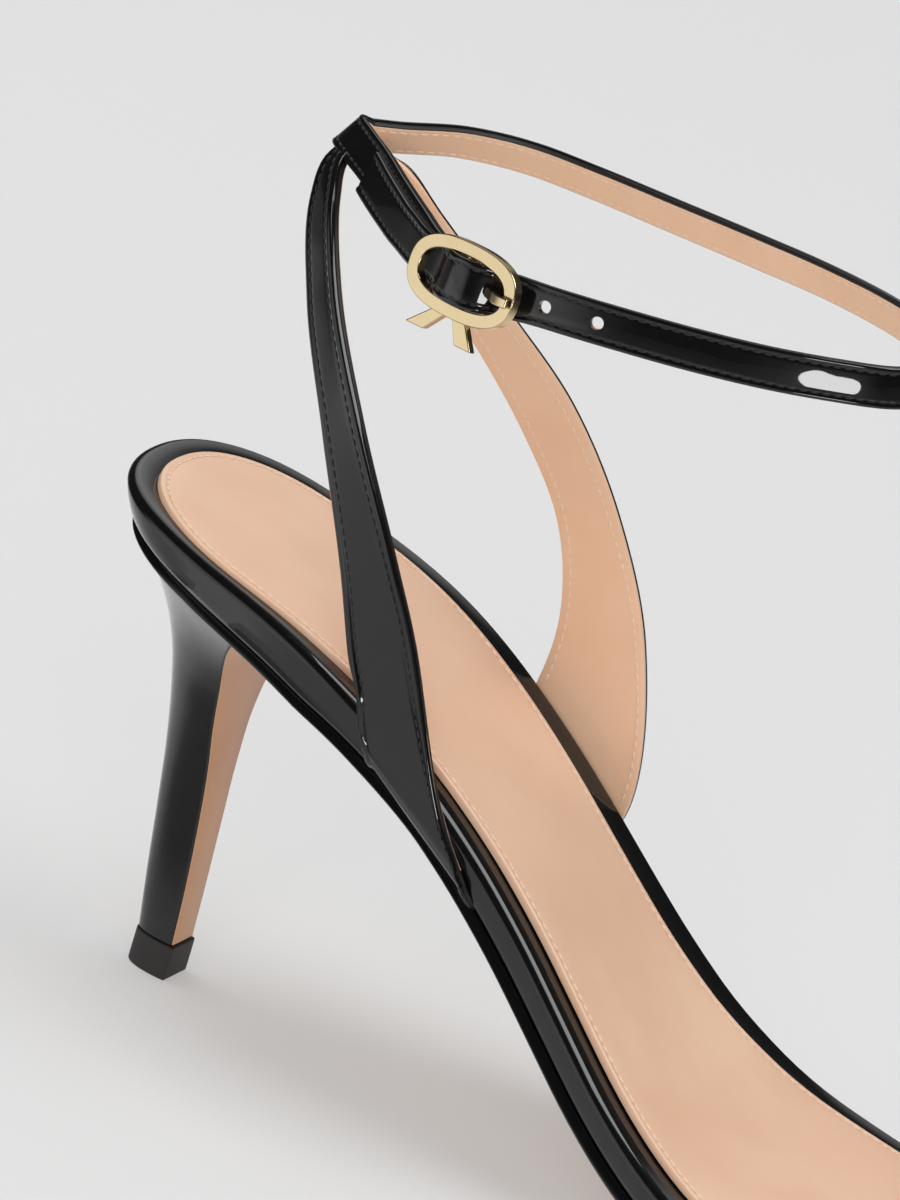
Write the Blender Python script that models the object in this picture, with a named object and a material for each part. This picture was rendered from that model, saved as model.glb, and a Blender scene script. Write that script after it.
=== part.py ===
"""Heeled sandal, right shoe: sole, slim covered heel, side straps, ankle strap, toe strap and buckle.

Lengths are millimetres in the tables and functions, and metres in the meshes. X runs to the toe,
+Y is the medial side, Z is up from the floor, and the origin is the centre of the heel's tread.
"""
import math

import bmesh
import bpy
import numpy as np

MM = 0.001
GAP = 0.3                      # clearance between neighbouring pieces

# Sole line: arc length along the insole top from its back end, and slope down towards the toe.
INSOLE_BACK_X = -22.5
TREAD_S = 191.0                # middle of the level forefoot
SLOPE = (                      # s, degrees
    (0, 14), (34, 14.2), (60, 29.4), (75, 35.0), (90, 39.2), (105, 40.4), (120, 37.2), (135, 27.4),
    (148, 15.4), (160, 12.2), (170, 8.6), (183, 0), (199, 0), (218, -5), (250, -11),
)

SOLE_LINE_STEP = 0.5
SOLE_LINE_SPARE = 12.0

# Layers of the sole, thickness along the sole line's normal.
INSOLE_THICK = 1.4
RAND_THICK = 5.0               # under the insole
OUTSOLE_THICK = 1.9
STACK = INSOLE_THICK + RAND_THICK + OUTSOLE_THICK + 2 * GAP

# Insole outline: half widths to the lateral and medial side, and the shift of their middle.
INSOLE_START = 2.7             # s of its back end
INSOLE_END = 238.0             # s of its toe
HEEL_ROUND = 25.0              # length of the rounded back end
TOE_ROUND = 52.0               # length of the rounded toe
END_POWER = 2.25               # how square the rounded ends are
OUTLINE = (                    # s, lateral, medial, middle
    (0, 22.0, 22.0, 0.0), (28, 22.5, 22.0, 0.0), (45, 22.0, 21.8, 0.0), (60, 20.0, 20.8, 0.0),
    (75, 18.2, 19.8, 0.0), (90, 17.2, 19.2, 0.0), (105, 17.6, 19.6, 0.0), (120, 19.8, 21.6, 0.0),
    (135, 23.6, 25.2, 0.0), (150, 28.0, 28.7, 0.0), (165, 31.2, 31.2, 0.2), (185, 33.0, 32.8, 1.4),
    (210, 32.4, 32.4, 4.0), (238, 31.0, 31.0, 6.5),
)
RAND_REACH = (                 # s, rand beyond the insole's edge on the lateral and on the medial side
    (0, 4.6, 4.6), (30, 4.6, 4.4), (60, 4.8, 5.4), (110, 5.0, 6.6), (150, 5.0, 4.7), (190, 4.8, 4.2),
    (238, 4.6, 4.6),
)
RAND_SHOULDER = 0.9            # rounded top edge of the rand
SHOULDER_STEPS = 6
RIM_LEVEL = -0.9               # rand's rim beside the insole's edge, at the heel's back
RIM_BANK = 0.5                 # the rim lies lower on the lateral side and higher on the medial side
RIM_BANK_WIDTH = 18.0
WALL_TAPER = (                 # s, wall drawn in at its foot
    (0, 2.2), (15, 2.1), (35, 1.1), (50, 0.2), (60, 0.0),
)
RIM_LIP = 0.2                  # slant of the rim's inner wall
OUTSOLE_IN = (                 # s, outsole inside the rand's edge
    (0, 1.9), (40, 1.6), (62, 1.0), (85, 0.6), (150, 0.5), (238, 0.6),
)
OUTSOLE_FOOT = ((1.6, 0.0), (0.4, 0.5), (0.0, 1.0))     # inset and height of its rounded lower edge
RAND_FOOT = (                  # inset, height and share of the taper of the rand's rounded lower edge
    (2.2, 0.0, 1.0), (0.9, 0.4, 1.0), (0.2, 1.0, 0.95), (0.0, 1.6, 0.8),
)
RAND_MIDDLE_TAPER = 0.35
INSOLE_EDGE = ((0.2, 1.4), (0.0, 1.0), (0.0, 0.3), (0.4, 0.1), (1.2, 0.0))     # inset and depth
OUTLINE_STATIONS = 44

# Heel: level 0 is the joint with the top piece and level 1 the heel seat.
TOP_PIECE_HEIGHT = 5.8
TOP_PIECE_LIP = 0.25
BREAST_THICK = 1.0
HEEL_SEAT_S = (0.0, 30.0)       # the seat is the plane through these two places on the sole
HEEL_CORNER = 0.9              # rounded edge between side and breast
HEEL_LEVELS = 17
HEEL_CROWDING = 1.5            # levels lie closer together towards the seat
HEEL_POINTS = 21               # points round the back
HEEL_FULLNESS = 0.9            # below 1 the back is fuller than an ellipse
COVER_INSET = 0.2              # breast cover inside the heel's sides
COVER_CHAMFER = 0.4
HEEL_SECTION = (               # level, back x, breast x, half width
    (0.00, -4.0, 2.5, 3.8), (0.15, -5.4, 2.1, 4.0), (0.33, -6.9, 1.4, 4.5), (0.50, -8.4, 0.6, 5.4),
    (0.64, -10.0, 0.0, 7.2), (0.75, -11.7, 0.2, 9.4), (0.84, -13.9, 0.9, 12.4),
    (0.91, -16.4, 2.4, 16.0), (0.96, -18.7, 4.4, 19.2), (1.00, -21.2, 7.6, 22.0),
)

# Straps.
STRAP_THICK = 1.8
STRAP_SKIVED = 1.0             # thinned ends
SKIVE_LENGTH = 6.0
ANKLE_THICK = 1.5
ANKLE_WIDTH = 6.4
SIDE_STATIONS = 26
SIDE_COLUMNS = 5
ROOT_CROWDING = 1.5            # sections lie closer together at the root
ROOT_ROWS = (                  # height on the sole, clearance to the rand, place from bottom to top
    (-6.8, 0.05, 0.00), (-6.0, 0.50, 0.15), (-4.7, 0.65, 0.40), (-2.8, 0.65, 0.75), (-0.8, 0.75, 1.00),
)
LATERAL_ROOT = ((63.5, 90.0), (56.5, 75.5))     # rear and front s, at the bottom and at the top
MEDIAL_ROOT = ((68.0, 94.0), (64.5, 90.0))
LATERAL_STRAP = (              # rear x, y, z, then front x, y, z
    (27.2, -25.0, 72.1, 36.6, -25.2, 76.8), (22.0, -25.3, 83.5, 30.2, -26.0, 88.2),
    (11.6, -22.0, 101.8, 18.0, -24.5, 106.0), (-0.2, -13.6, 117.8, 5.1, -17.2, 122.0),
    (-7.2, -6.2, 130.1, -2.4, -9.8, 133.3), (-8.7, -2.1, 135.0, -5.1, -4.1, 136.6),
    (-7.6, 2.6, 139.1, -4.6, -0.6, 139.7),
)
MEDIAL_STRAP = (
    (37.4, 26.8, 76.4, 52.4, 28.0, 73.4), (32.6, 26.4, 87.6, 42.2, 27.8, 90.6),
    (24.0, 23.8, 98.9, 31.2, 25.2, 104.6), (14.0, 18.0, 111.0, 18.8, 19.0, 116.8),
    (2.6, 10.8, 123.6, 7.0, 11.4, 128.8), (-5.0, 4.2, 134.6, -1.0, 4.6, 137.3),
    (-8.4, 5.3, 137.5, -6.4, 5.6, 138.5),
)

# Ankle strap: middle line of the closed loop, with the lean of its face away from upright.
ANKLE_LOOP = (                 # x, y, z, lean in degrees
    (32.2, -34.4, 136.9, 8), (23.0, -29.2, 136.8, 9), (16.2, -22.8, 137.4, 12), (8.6, -15.6, 138.2, 18),
    (0.8, -7.8, 139.0, 26), (-5.2, -2.4, 139.6, 31), (-8.6, 1.4, 139.8, 32), (-8.5, 5.2, 138.9, 32),
    (-5.2, 8.9, 139.0, 31), (4.0, 17.6, 140.3, 31), (13.0, 24.0, 140.1, 31), (23.0, 26.8, 139.6, 30),
    (37.0, 26.6, 139.7, 29), (52.0, 26.0, 139.9, 28), (64.5, 24.6, 140.2, 28), (77.0, 21.0, 140.4, 25),
    (89.0, 12.6, 140.8, 20), (95.6, 0.0, 141.2, 14), (92.4, -14.0, 140.8, 9), (85.0, -20.0, 140.2, 8),
    (76.6, -25.0, 139.6, 8), (66.6, -29.4, 139.1, 8), (56.0, -32.6, 138.6, 8), (44.0, -34.8, 137.9, 8),
)
TANGENT_STEP = 1.5             # directions are taken over this length to each side
LOOP_STEP = 0.5                # spacing of the points that the loop is measured on
COARSE_STEP = 3.4
FINE_STEP = 1.3
FINE_REACH = 15.0              # finer sections each side of the buckle
TIP_LENGTH = 40.0              # free end beyond the buckle's bar
TIP_SHEAR = 3.0                # slant of the cut end
TIP_DROP = 0.9                 # free end lies this much lower than the strap under it
DROP_REACH = 14.0
LAYER_RISE = 1.8               # middle of the free end above the middle of the strap under it
BAR_RISE = 2.0                 # bar and back of the ring above the strap's middle line
BAR_RADIUS = 0.8
FOLD_REACH = 8.0               # the fold round the bar settles on the loop over this length
EYE_RADIUS = 2.0               # strap folded round the bar
EYE_SLOT = 1.25                # half width of the slot that the prong turns in
CUT_MARGIN = 2.5               # cutters reach this far past what they cut
ARCH_RISE = 3.1                # extra rise of the free end over the bar
ARCH_REACH = 7.5
RING_SQUEEZE = 0.75             # strap narrowed on each side inside the ring
SQUEEZE_REACH = 13.0
FIRST_HOLE_U = 12.0            # nearest free hole, from the bar
HOLE_PITCH = 8.2
HOLE_RADIUS = 1.0
FREE_HOLES = 2
PRONG_HOLE_U = 4.3             # the hole in use, from the bar
PRONG_SLOT = (4.2, 1.25)       # length and half width of that hole
PRONG_HOLE_DEPTH = (0.2, 7.0)  # its cutter's lower and upper end

# Buckle.
RING_LENGTH = 21.0
RING_HEIGHT = 11.8
RING_BAND = 2.1
RING_THICK = 1.8
RING_POWER = 2.6
RING_POINTS = 40
RING_CHAMFER = 0.4             # outer edge
RING_BEVEL = 0.3               # inner edge
PRONG_WIDTH = 1.6
PRONG_EYE_EXTRA = 0.1          # eye wider than the prong on each side
PRONG_EYE_RADIUS = 1.9
PRONG_PATH = (                 # u, n, half height
    (0.9, 1.95, 0.5), (3.0, 2.0, 0.5), (4.6, 2.5, 0.5), (6.2, 3.6, 0.5), (7.8, 4.6, 0.5), (10.2, 4.7, 0.4),
)
TAILS = (                      # start u, end u, drop of the end below the ring, width at the end
    (-1.4, -5.8, 3.2, 3.6), (1.4, 4.2, 3.4, 3.4),
)
TAIL_ROOT_WIDTH = 2.6
TAIL_THICK = 1.4
TAIL_INSET = 0.2               # back of the ends in front of the ring's back

# Toe strap.
TOE_STRAP_S = 197.0
TOE_STRAP_WIDTH = 10.0
TOE_STRAP_RISE = 27.0          # inner top above the insole
TOE_STRAP_BACK = 5.0           # the arch leans back towards the instep
TOE_STRAP_ROWS = 13
TOE_STRAP_COLUMNS = 3
TOE_STRAP_STATIONS = 44
TOE_STRAP_POWER = 2.5
TOE_STRAP_LAY = 0.35           # radians, the strap's top lies back with the foot

CYLINDER_SIDES = 16
SHARP_ANGLE = 35.0             # degrees, edges sharper than this are not shaded smooth
BLACK_PATENT = ("black patent leather", (0.012, 0.012, 0.013), 0.12, 0.0)     # name, colour, rough, metal
NUDE = ("nude leather", (0.72, 0.50, 0.36), 0.45, 0.0)
DARK_RUBBER = ("dark rubber", (0.03, 0.028, 0.027), 0.6, 0.0)
PALE_GOLD = ("pale gold", (0.76, 0.60, 0.34), 0.18, 1.0)


def smooth(keys, values, at):
    """Cubic curve through the rows: keys rise, values are numbers or points."""
    keys = np.asarray(keys, float)
    values = np.asarray(values, float)
    at = np.asarray(at, float)
    step = np.diff(keys)
    flat = values.ndim == 1
    if flat:
        values = values[:, None]
    rate = np.diff(values, axis=0) / step[:, None]
    tangent = np.empty_like(values)
    tangent[0] = rate[0]
    tangent[-1] = rate[-1]
    before, after = step[:-1, None], step[1:, None]
    tangent[1:-1] = (rate[:-1] * after + rate[1:] * before) / (before + after)
    row = np.clip(np.searchsorted(keys, at, side="right") - 1, 0, len(step) - 1)
    width = step[row][..., None]
    t = ((at - keys[row])[..., None] / width)
    result = (
        (1 + 2 * t) * (1 - t) ** 2 * values[row]
        + t * (1 - t) ** 2 * width * tangent[row]
        + t ** 2 * (3 - 2 * t) * values[row + 1]
        + t ** 2 * (t - 1) * width * tangent[row + 1]
    )
    return result[..., 0] if flat else result


def column(table, index):
    """One column of a table."""
    return [row[index] for row in table]


def unit(vectors):
    """Vectors scaled to length one."""
    return vectors / np.linalg.norm(vectors, axis=-1, keepdims=True)


def make_sole_line():
    """Points and slope of the sole line, in short steps and a little past both ends."""
    s = np.arange(-SOLE_LINE_SPARE, INSOLE_END + SOLE_LINE_SPARE, SOLE_LINE_STEP)
    slope = np.radians(np.interp(s, column(SLOPE, 0), column(SLOPE, 1)))
    mean = (slope[1:] + slope[:-1]) / 2
    x = np.concatenate(([0.0], np.cumsum(np.cos(mean) * np.diff(s))))
    z = np.concatenate(([0.0], np.cumsum(-np.sin(mean) * np.diff(s))))
    x += INSOLE_BACK_X - np.interp(0.0, s, x)
    z += STACK - np.interp(TREAD_S, s, z)
    return s, x, z, slope


SOLE_LINE = make_sole_line()


def on_sole(s, y, h):
    """Point at arc length s, side y and height h above the insole's top."""
    line_s, line_x, line_z, line_slope = SOLE_LINE
    slope = np.interp(s, line_s, line_slope)
    x = np.interp(s, line_s, line_x) + h * np.sin(slope)
    z = np.interp(s, line_s, line_z) + h * np.cos(slope)
    return np.stack(np.broadcast_arrays(x, y, z), axis=-1)


def insole_half(s, side):
    """Side position of the insole's edge: side is -1 for lateral and 1 for medial."""
    reach = smooth(column(OUTLINE, 0), column(OUTLINE, 1 if side < 0 else 2), s)
    middle = smooth(column(OUTLINE, 0), column(OUTLINE, 3), s)
    heel = np.clip((INSOLE_START + HEEL_ROUND - s) / HEEL_ROUND, 0, 1)
    toe = np.clip((s - INSOLE_END + TOE_ROUND) / TOE_ROUND, 0, 1)
    ends = np.clip(1 - heel ** END_POWER, 0, 1) * np.clip(1 - toe ** END_POWER, 0, 1)
    return middle + side * reach * ends ** (1 / END_POWER)


def make_outline():
    """Insole outline as a loop of (s, y): lateral side to the toe, then medial side back."""
    turn = np.linspace(0, math.pi, OUTLINE_STATIONS)
    s = INSOLE_START + (INSOLE_END - INSOLE_START) * (1 - np.cos(turn)) / 2
    lateral = np.stack((s, insole_half(s, -1)), axis=1)
    medial = np.stack((s, insole_half(s, 1)), axis=1)[1:-1][::-1]
    return np.concatenate((lateral, medial))


OUTLINE_LOOP = make_outline()


def rand_reach(s, side):
    """Width of the rand beyond the insole's edge: side is -1 for lateral and 1 for medial, or between."""
    s = np.clip(s, 0, INSOLE_END)
    lateral = smooth(column(RAND_REACH, 0), column(RAND_REACH, 1), s)
    medial = smooth(column(RAND_REACH, 0), column(RAND_REACH, 2), s)
    return lateral + (medial - lateral) * (1 + side) / 2


def side_share(y):
    """-1 on the lateral side and 1 on the medial side, with an even change across the ends."""
    return np.clip(y / RIM_BANK_WIDTH, -1, 1)


def wall_taper(s):
    """How far the sole's wall is drawn in at its foot."""
    drawn = smooth(column(WALL_TAPER, 0), column(WALL_TAPER, 1), np.clip(s, 0, column(WALL_TAPER, 0)[-1]))
    return np.maximum(drawn, 0)


def offset_outline(reach, outset, drawn_in):
    """Insole outline moved out by an outset and a share of the rand's reach, less a share of the taper."""
    along = unit(np.roll(OUTLINE_LOOP, -1, axis=0) - np.roll(OUTLINE_LOOP, 1, axis=0))
    outward = np.stack((along[:, 1], -along[:, 0]), axis=1)
    s, y = OUTLINE_LOOP.T
    distance = reach * rand_reach(s, side_share(y)) + outset - drawn_in * wall_taper(s)
    return OUTLINE_LOOP + distance[:, None] * outward


def sole_loop(reach, outset, height, bank, drawn_in):
    """Loop round the sole: the bank raises the medial side and lowers the lateral side."""
    s, y = offset_outline(reach, outset, drawn_in).T
    return on_sole(s, y, height + bank * side_share(OUTLINE_LOOP[:, 1]))


def rand_edge(s, side):
    """Side position of the rand's wall."""
    loop = offset_outline(1, 0, 0)
    if side < 0:
        half = loop[:OUTLINE_STATIONS]
    else:
        half = np.concatenate((loop[OUTLINE_STATIONS - 1:], loop[:1]))[::-1]
    return np.interp(s, half[:, 0], half[:, 1])


def material(name, colour, roughness, metallic):
    """Principled material."""
    made = bpy.data.materials.new(name)
    made.use_nodes = True
    shader = made.node_tree.nodes["Principled BSDF"]
    shader.inputs["Base Color"].default_value = (*colour, 1.0)
    shader.inputs["Roughness"].default_value = roughness
    shader.inputs["Metallic"].default_value = metallic
    return made


def make_object(name, points, faces, made_of, hidden=False):
    """Mesh object from points in millimetres, its faces turned outwards."""
    mesh = bpy.data.meshes.new(name)
    mesh.from_pydata((np.asarray(points) * MM).tolist(), [], faces)
    shaped = bmesh.new()
    shaped.from_mesh(mesh)
    bmesh.ops.recalc_face_normals(shaped, faces=shaped.faces)
    if shaped.calc_volume(signed=True) < 0:
        bmesh.ops.reverse_faces(shaped, faces=shaped.faces)
    shaped.to_mesh(mesh)
    shaped.free()
    mesh.shade_smooth()
    mesh.set_sharp_from_angle(angle=math.radians(SHARP_ANGLE))
    shape = bpy.data.objects.new(name, mesh)
    bpy.context.collection.objects.link(shape)
    if hidden:
        shape.hide_render = True
        shape.display_type = "WIRE"
    else:
        mesh.materials.append(made_of)
    return shape


def boolean(shape, other, operation):
    """Boolean modifier with a hidden object."""
    cut = shape.modifiers.new(other.name, "BOOLEAN")
    cut.operation = operation
    cut.solver = "EXACT"
    cut.object = other


def loft(rings):
    """Points and faces of a solid through closed rings of equal count, capped at both ends."""
    count = len(rings[0])
    points = np.concatenate(rings)
    faces = []
    for ring in range(len(rings) - 1):
        start = ring * count
        for i in range(count):
            j = (i + 1) % count
            faces.append((start + i, start + j, start + count + j, start + count + i))
    last = (len(rings) - 1) * count
    faces.append(tuple(range(count))[::-1])
    faces.append(tuple(range(last, last + count)))
    return points, faces


def plate(name, rings, made_of):
    """Sole layer: rings are (reach, outset, height, bank, drawn in) from the underside to the top."""
    loops = [sole_loop(*ring) for ring in rings]
    points, faces = loft(loops)
    faces = faces[:-2]
    count = len(OUTLINE_LOOP)
    for start in (0, (len(rings) - 1) * count):
        for i in range(OUTLINE_STATIONS - 1):
            lateral, ahead = start + i, start + i + 1
            medial, medial_ahead = start + (count - i) % count, start + count - i - 1
            corners = (lateral, ahead, medial_ahead, medial)
            faces.append(tuple(dict.fromkeys(corners)))
    return make_object(name, points, faces, made_of)


def arc(centre, radius, start, end, steps):
    """Points of an arc in a plate's section, angles in degrees."""
    angles = np.radians(np.linspace(start, end, steps))
    return [(centre[0] + radius * math.cos(a), centre[1] + radius * math.sin(a)) for a in angles]


def build_sole(patent, nude):
    """Outsole, rand and insole."""
    seat = -INSOLE_THICK - GAP
    rand_under = seat - RAND_THICK
    outsole_top = rand_under - GAP
    drawn = np.interp(OUTLINE_LOOP[:, 0], column(OUTSOLE_IN, 0), column(OUTSOLE_IN, 1))
    foot = [(1, -drawn - inset, height - STACK, 0, 1) for inset, height in OUTSOLE_FOOT]
    plate("outsole", [*foot, (1, -drawn, outsole_top, 0, 1)], nude)

    foot = [(1, -inset, rand_under + height, 0, taper) for inset, height, taper in RAND_FOOT]
    wall = rand_under + RAND_FOOT[-1][1]
    spring = RIM_LEVEL - RAND_SHOULDER
    shoulder = arc((-RAND_SHOULDER, spring), RAND_SHOULDER, 0, 90, SHOULDER_STEPS)
    plate("platform_rand", [
        *foot,
        (1, 0, (wall + spring) / 2, RIM_BANK / 2, RAND_MIDDLE_TAPER),
        *((1, outset, height, RIM_BANK, 0) for outset, height in shoulder),
        (0, GAP + RIM_LIP, RIM_LEVEL, RIM_BANK, 0),
        (0, GAP, seat, 0, 0),
    ], patent)
    plate("insole", [(0, -inset, -depth, 0, 0) for inset, depth in INSOLE_EDGE], nude)


def heel_seat_z(x):
    """Height of the heel seat under the outsole, a plane."""
    behind, ahead = on_sole(np.array(HEEL_SEAT_S), 0.0, -STACK - GAP)
    rise = (ahead[2] - behind[2]) / (ahead[0] - behind[0])
    return behind[2] + rise * (x - behind[0])


def heel_point(x, y, level):
    """Point of the heel at a level between the top piece and the seat."""
    foot = TOP_PIECE_HEIGHT + GAP
    return np.stack(np.broadcast_arrays(x, y, foot + level * (heel_seat_z(x) - foot)), axis=-1)


def heel_size(level):
    """Back x, breast x and half width at a level."""
    return smooth(column(HEEL_SECTION, 0), [row[1:] for row in HEEL_SECTION], level)


def heel_outline(back, breast, half):
    """Section with a round back and a flat breast: loop of x and y."""
    turn = np.radians(np.linspace(-90, 90, HEEL_POINTS))
    side = breast - HEEL_CORNER
    x = side - (side - back) * np.cos(turn) ** HEEL_FULLNESS
    y = half * np.sign(np.sin(turn)) * np.abs(np.sin(turn)) ** HEEL_FULLNESS
    x = np.concatenate((x, [breast, breast]))
    y = np.concatenate((y, [half - HEEL_CORNER, HEEL_CORNER - half]))
    return x, y


def build_heel(patent, nude, rubber):
    """Heel block, its breast cover and the top piece."""
    levels = 1 - (1 - np.linspace(0, 1, HEEL_LEVELS)) ** HEEL_CROWDING
    block = []
    cover = []
    for level in levels:
        back, breast, half = heel_size(level)
        x, y = heel_outline(back, breast, half)
        block.append(heel_point(x, y, level))
        near, far = breast + GAP, breast + GAP + BREAST_THICK
        edge = half - COVER_INSET
        bevel = far - COVER_CHAMFER
        x = np.array([near, bevel, far, far, bevel, near])
        y = np.array([-edge, -edge, COVER_CHAMFER - edge, edge - COVER_CHAMFER, edge, edge])
        cover.append(heel_point(x, y, level))
    make_object("heel", *loft(block), patent)
    make_object("heel_breast_cover", *loft(cover), nude)

    back, breast, half = heel_size(0.0)
    front = breast + GAP + BREAST_THICK + TOP_PIECE_LIP
    x, y = heel_outline(back - TOP_PIECE_LIP, front, half + TOP_PIECE_LIP)
    x -= (x.max() + x.min()) / 2
    tread = np.stack((x, y, np.zeros_like(x)), axis=1)
    make_object("heel_top_piece", *loft([tread, tread + (0, 0, TOP_PIECE_HEIGHT)]), rubber)


def strap_solid(inner, thickness):
    """Strap from a grid of points on its inner face: rows along it, columns across it."""
    rows, columns, _ = inner.shape
    along = np.gradient(inner, axis=0)
    across = np.gradient(inner, axis=1)
    normal = unit(np.cross(along, across))
    outer = inner + normal * np.asarray(thickness)[:, None, None]
    rings = [np.concatenate((inner[i], outer[i][::-1])) for i in range(rows)]
    points, faces = loft(rings)
    faces = faces[:-2]
    count = 2 * columns
    for start in (0, (rows - 1) * count):
        for j in range(columns - 1):
            faces.append((start + j, start + j + 1, start + count - 2 - j, start + count - 1 - j))
    return points, faces


def root_points(side, root, shares):
    """Rows of a strap's root on the rand's wall, from the bottom up."""
    low, high = np.asarray(root)
    rows = []
    for height, clearance, place in ROOT_ROWS:
        rear, front = low + (high - low) * place
        s = rear + (front - rear) * shares
        y = rand_edge(s, side) + side * clearance
        rows.append(on_sole(s, y, height))
    return rows


def through_rows(rows, places):
    """Sections of a strap at places from 0 to 1 along it, through rows of points."""
    rows = np.asarray(rows)
    middle = rows.mean(axis=1)
    length = np.concatenate(([0], np.cumsum(np.linalg.norm(np.diff(middle, axis=0), axis=1))))
    at = places * length[-1]
    flat = smooth(length, rows.reshape(len(rows), -1), at)
    return flat.reshape(len(at), rows.shape[1], 3), at


def side_strap(name, side, root, table):
    """Side strap from the sole to the back of the ankle, hidden until it is joined to the ankle strap."""
    shares = np.linspace(0, 1, SIDE_COLUMNS)
    rows = root_points(side, root, shares)
    for row in table:
        rear, front = np.array(row[:3]), np.array(row[3:])
        rows.append(rear + (front - rear) * shares[:, None])
    inner, length = through_rows(rows, np.linspace(0, 1, SIDE_STATIONS) ** ROOT_CROWDING)
    ends = np.minimum(length, length[-1] - length)
    thickness = np.interp(ends, [0, SKIVE_LENGTH], [STRAP_SKIVED, STRAP_THICK])
    if side < 0:
        inner = inner[:, ::-1]
    return make_object(name, *strap_solid(inner, thickness), None, hidden=True)


def make_ankle_loop():
    """Closed middle line of the ankle strap: length, points, lean and whole length, bar first."""
    table = np.array(ANKLE_LOOP, float)
    wrapped = np.concatenate((table[-2:], table, table[:3]))
    length = np.concatenate(([0], np.cumsum(np.linalg.norm(np.diff(wrapped[:, :3], axis=0), axis=1))))
    at = np.arange(length[2], length[-3], LOOP_STEP)
    line = smooth(length, wrapped, at)
    run = np.concatenate(([0], np.cumsum(np.linalg.norm(np.diff(line[:, :3], axis=0), axis=1))))
    closing = np.linalg.norm(line[0, :3] - line[-1, :3])
    return run, line, run[-1] + closing


ANKLE_RUN, ANKLE_LINE, ANKLE_GIRTH = make_ankle_loop()


def on_loop(run):
    """Middle point and lean at a length along the closed loop."""
    columns = [np.interp(run, ANKLE_RUN, values, period=ANKLE_GIRTH) for values in ANKLE_LINE.T]
    return np.stack(columns, axis=-1)


def ankle_frame(run):
    """Middle point, direction, width direction and outward normal at a length along the loop."""
    here = on_loop(run)
    along = unit((on_loop(run + TANGENT_STEP) - on_loop(run - TANGENT_STEP))[..., :3])
    inward = unit(np.cross(along, (0.0, 0.0, 1.0)))
    upright = unit(np.cross(inward, along))
    lean = np.radians(here[..., 3:4])
    width = upright * np.cos(lean) + inward * np.sin(lean)
    outward = upright * np.sin(lean) - inward * np.cos(lean)
    return here[..., :3], along, width, outward


def buckle_point(u, v, n):
    """Point in the buckle's flat frame: u towards the front, v up the strap, n away from the ankle."""
    middle, along, width, outward = ankle_frame(np.array(0.0))
    u, v, n = np.broadcast_arrays(u, v, n)
    return middle - along * u[..., None] + width * v[..., None] + outward * n[..., None]


def fade(place):
    """Smooth fall from 1 at place 0 to 0 at place 1."""
    return np.cos(np.clip(place, 0, 1) * math.pi / 2) ** 2


def rise_of(run):
    """How far the strap's middle stands off the loop: fold at the bar, free end and arch over the bar."""
    fold = BAR_RISE * fade(run / FOLD_REACH)
    ahead = ANKLE_GIRTH - run
    layer = LAYER_RISE * fade(ahead / ARCH_REACH)
    arch = ARCH_RISE * fade(np.abs(ahead) / ARCH_REACH)
    return fold + layer + arch


def ankle_stations():
    """Lengths along the strap, finer at the buckle."""
    stations = [0.0]
    end = ANKLE_GIRTH + TIP_LENGTH
    while stations[-1] < end - FINE_STEP:
        here = stations[-1]
        fine = min(here, abs(here - ANKLE_GIRTH)) < FINE_REACH
        stations.append(here + (FINE_STEP if fine else COARSE_STEP))
    stations[-1] = end
    return np.array(stations)


def ankle_strap():
    """Ankle strap from the fold at the bar, round the ankle, through the ring to its free end."""
    run = ankle_stations()
    middle, along, width, outward = ankle_frame(run)
    middle = middle + outward * rise_of(run)[:, None]
    drop = TIP_DROP * np.clip((run - ANKLE_GIRTH - ARCH_REACH) / DROP_REACH, 0, 1)
    middle = middle - width * drop[:, None]
    from_bar = np.abs(run - ANKLE_GIRTH)
    squeeze = RING_SQUEEZE * np.clip(2 - 2 * from_bar / SQUEEZE_REACH, 0, 1)
    half = ANKLE_WIDTH / 2 - squeeze
    rings = []
    for i in range(len(run)):
        shear = along[i] * TIP_SHEAR if i == len(run) - 1 else 0.0
        up, out = width[i] * half[i], outward[i] * ANKLE_THICK / 2
        top, bottom = middle[i] + up, middle[i] - up - shear
        rings.append(np.array([bottom - out, top - out, top + out, bottom + out]))
    return loft(rings)


def cylinder(name, start, end, radius):
    """Hidden cylinder between two points."""
    axis = unit(end - start)
    first = unit(np.cross(axis, np.roll(axis, 1)))
    second = np.cross(axis, first)
    turn = np.linspace(0, 2 * math.pi, CYLINDER_SIDES, endpoint=False)[:, None]
    ring = radius * (np.cos(turn) * first + np.sin(turn) * second)
    return make_object(name, *loft([start + ring, end + ring]), None, hidden=True)


def rectangle_in_buckle(u_range, v, n_range):
    """Four corners at one height in the buckle's frame."""
    u = np.array([u_range[0], u_range[1], u_range[1], u_range[0]])
    n = np.array([n_range[0], n_range[0], n_range[1], n_range[1]])
    return buckle_point(u, v, n)


def along_bar(name, half, radius):
    """Hidden cylinder on the bar's axis."""
    return cylinder(name, buckle_point(0, -half, BAR_RISE), buckle_point(0, half, BAR_RISE), radius)


def buckle_box(name, u_range, v_range, n_range):
    """Hidden box in the buckle's frame."""
    rings = [rectangle_in_buckle(u_range, v, n_range) for v in v_range]
    return make_object(name, *loft(rings), None, hidden=True)


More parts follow.
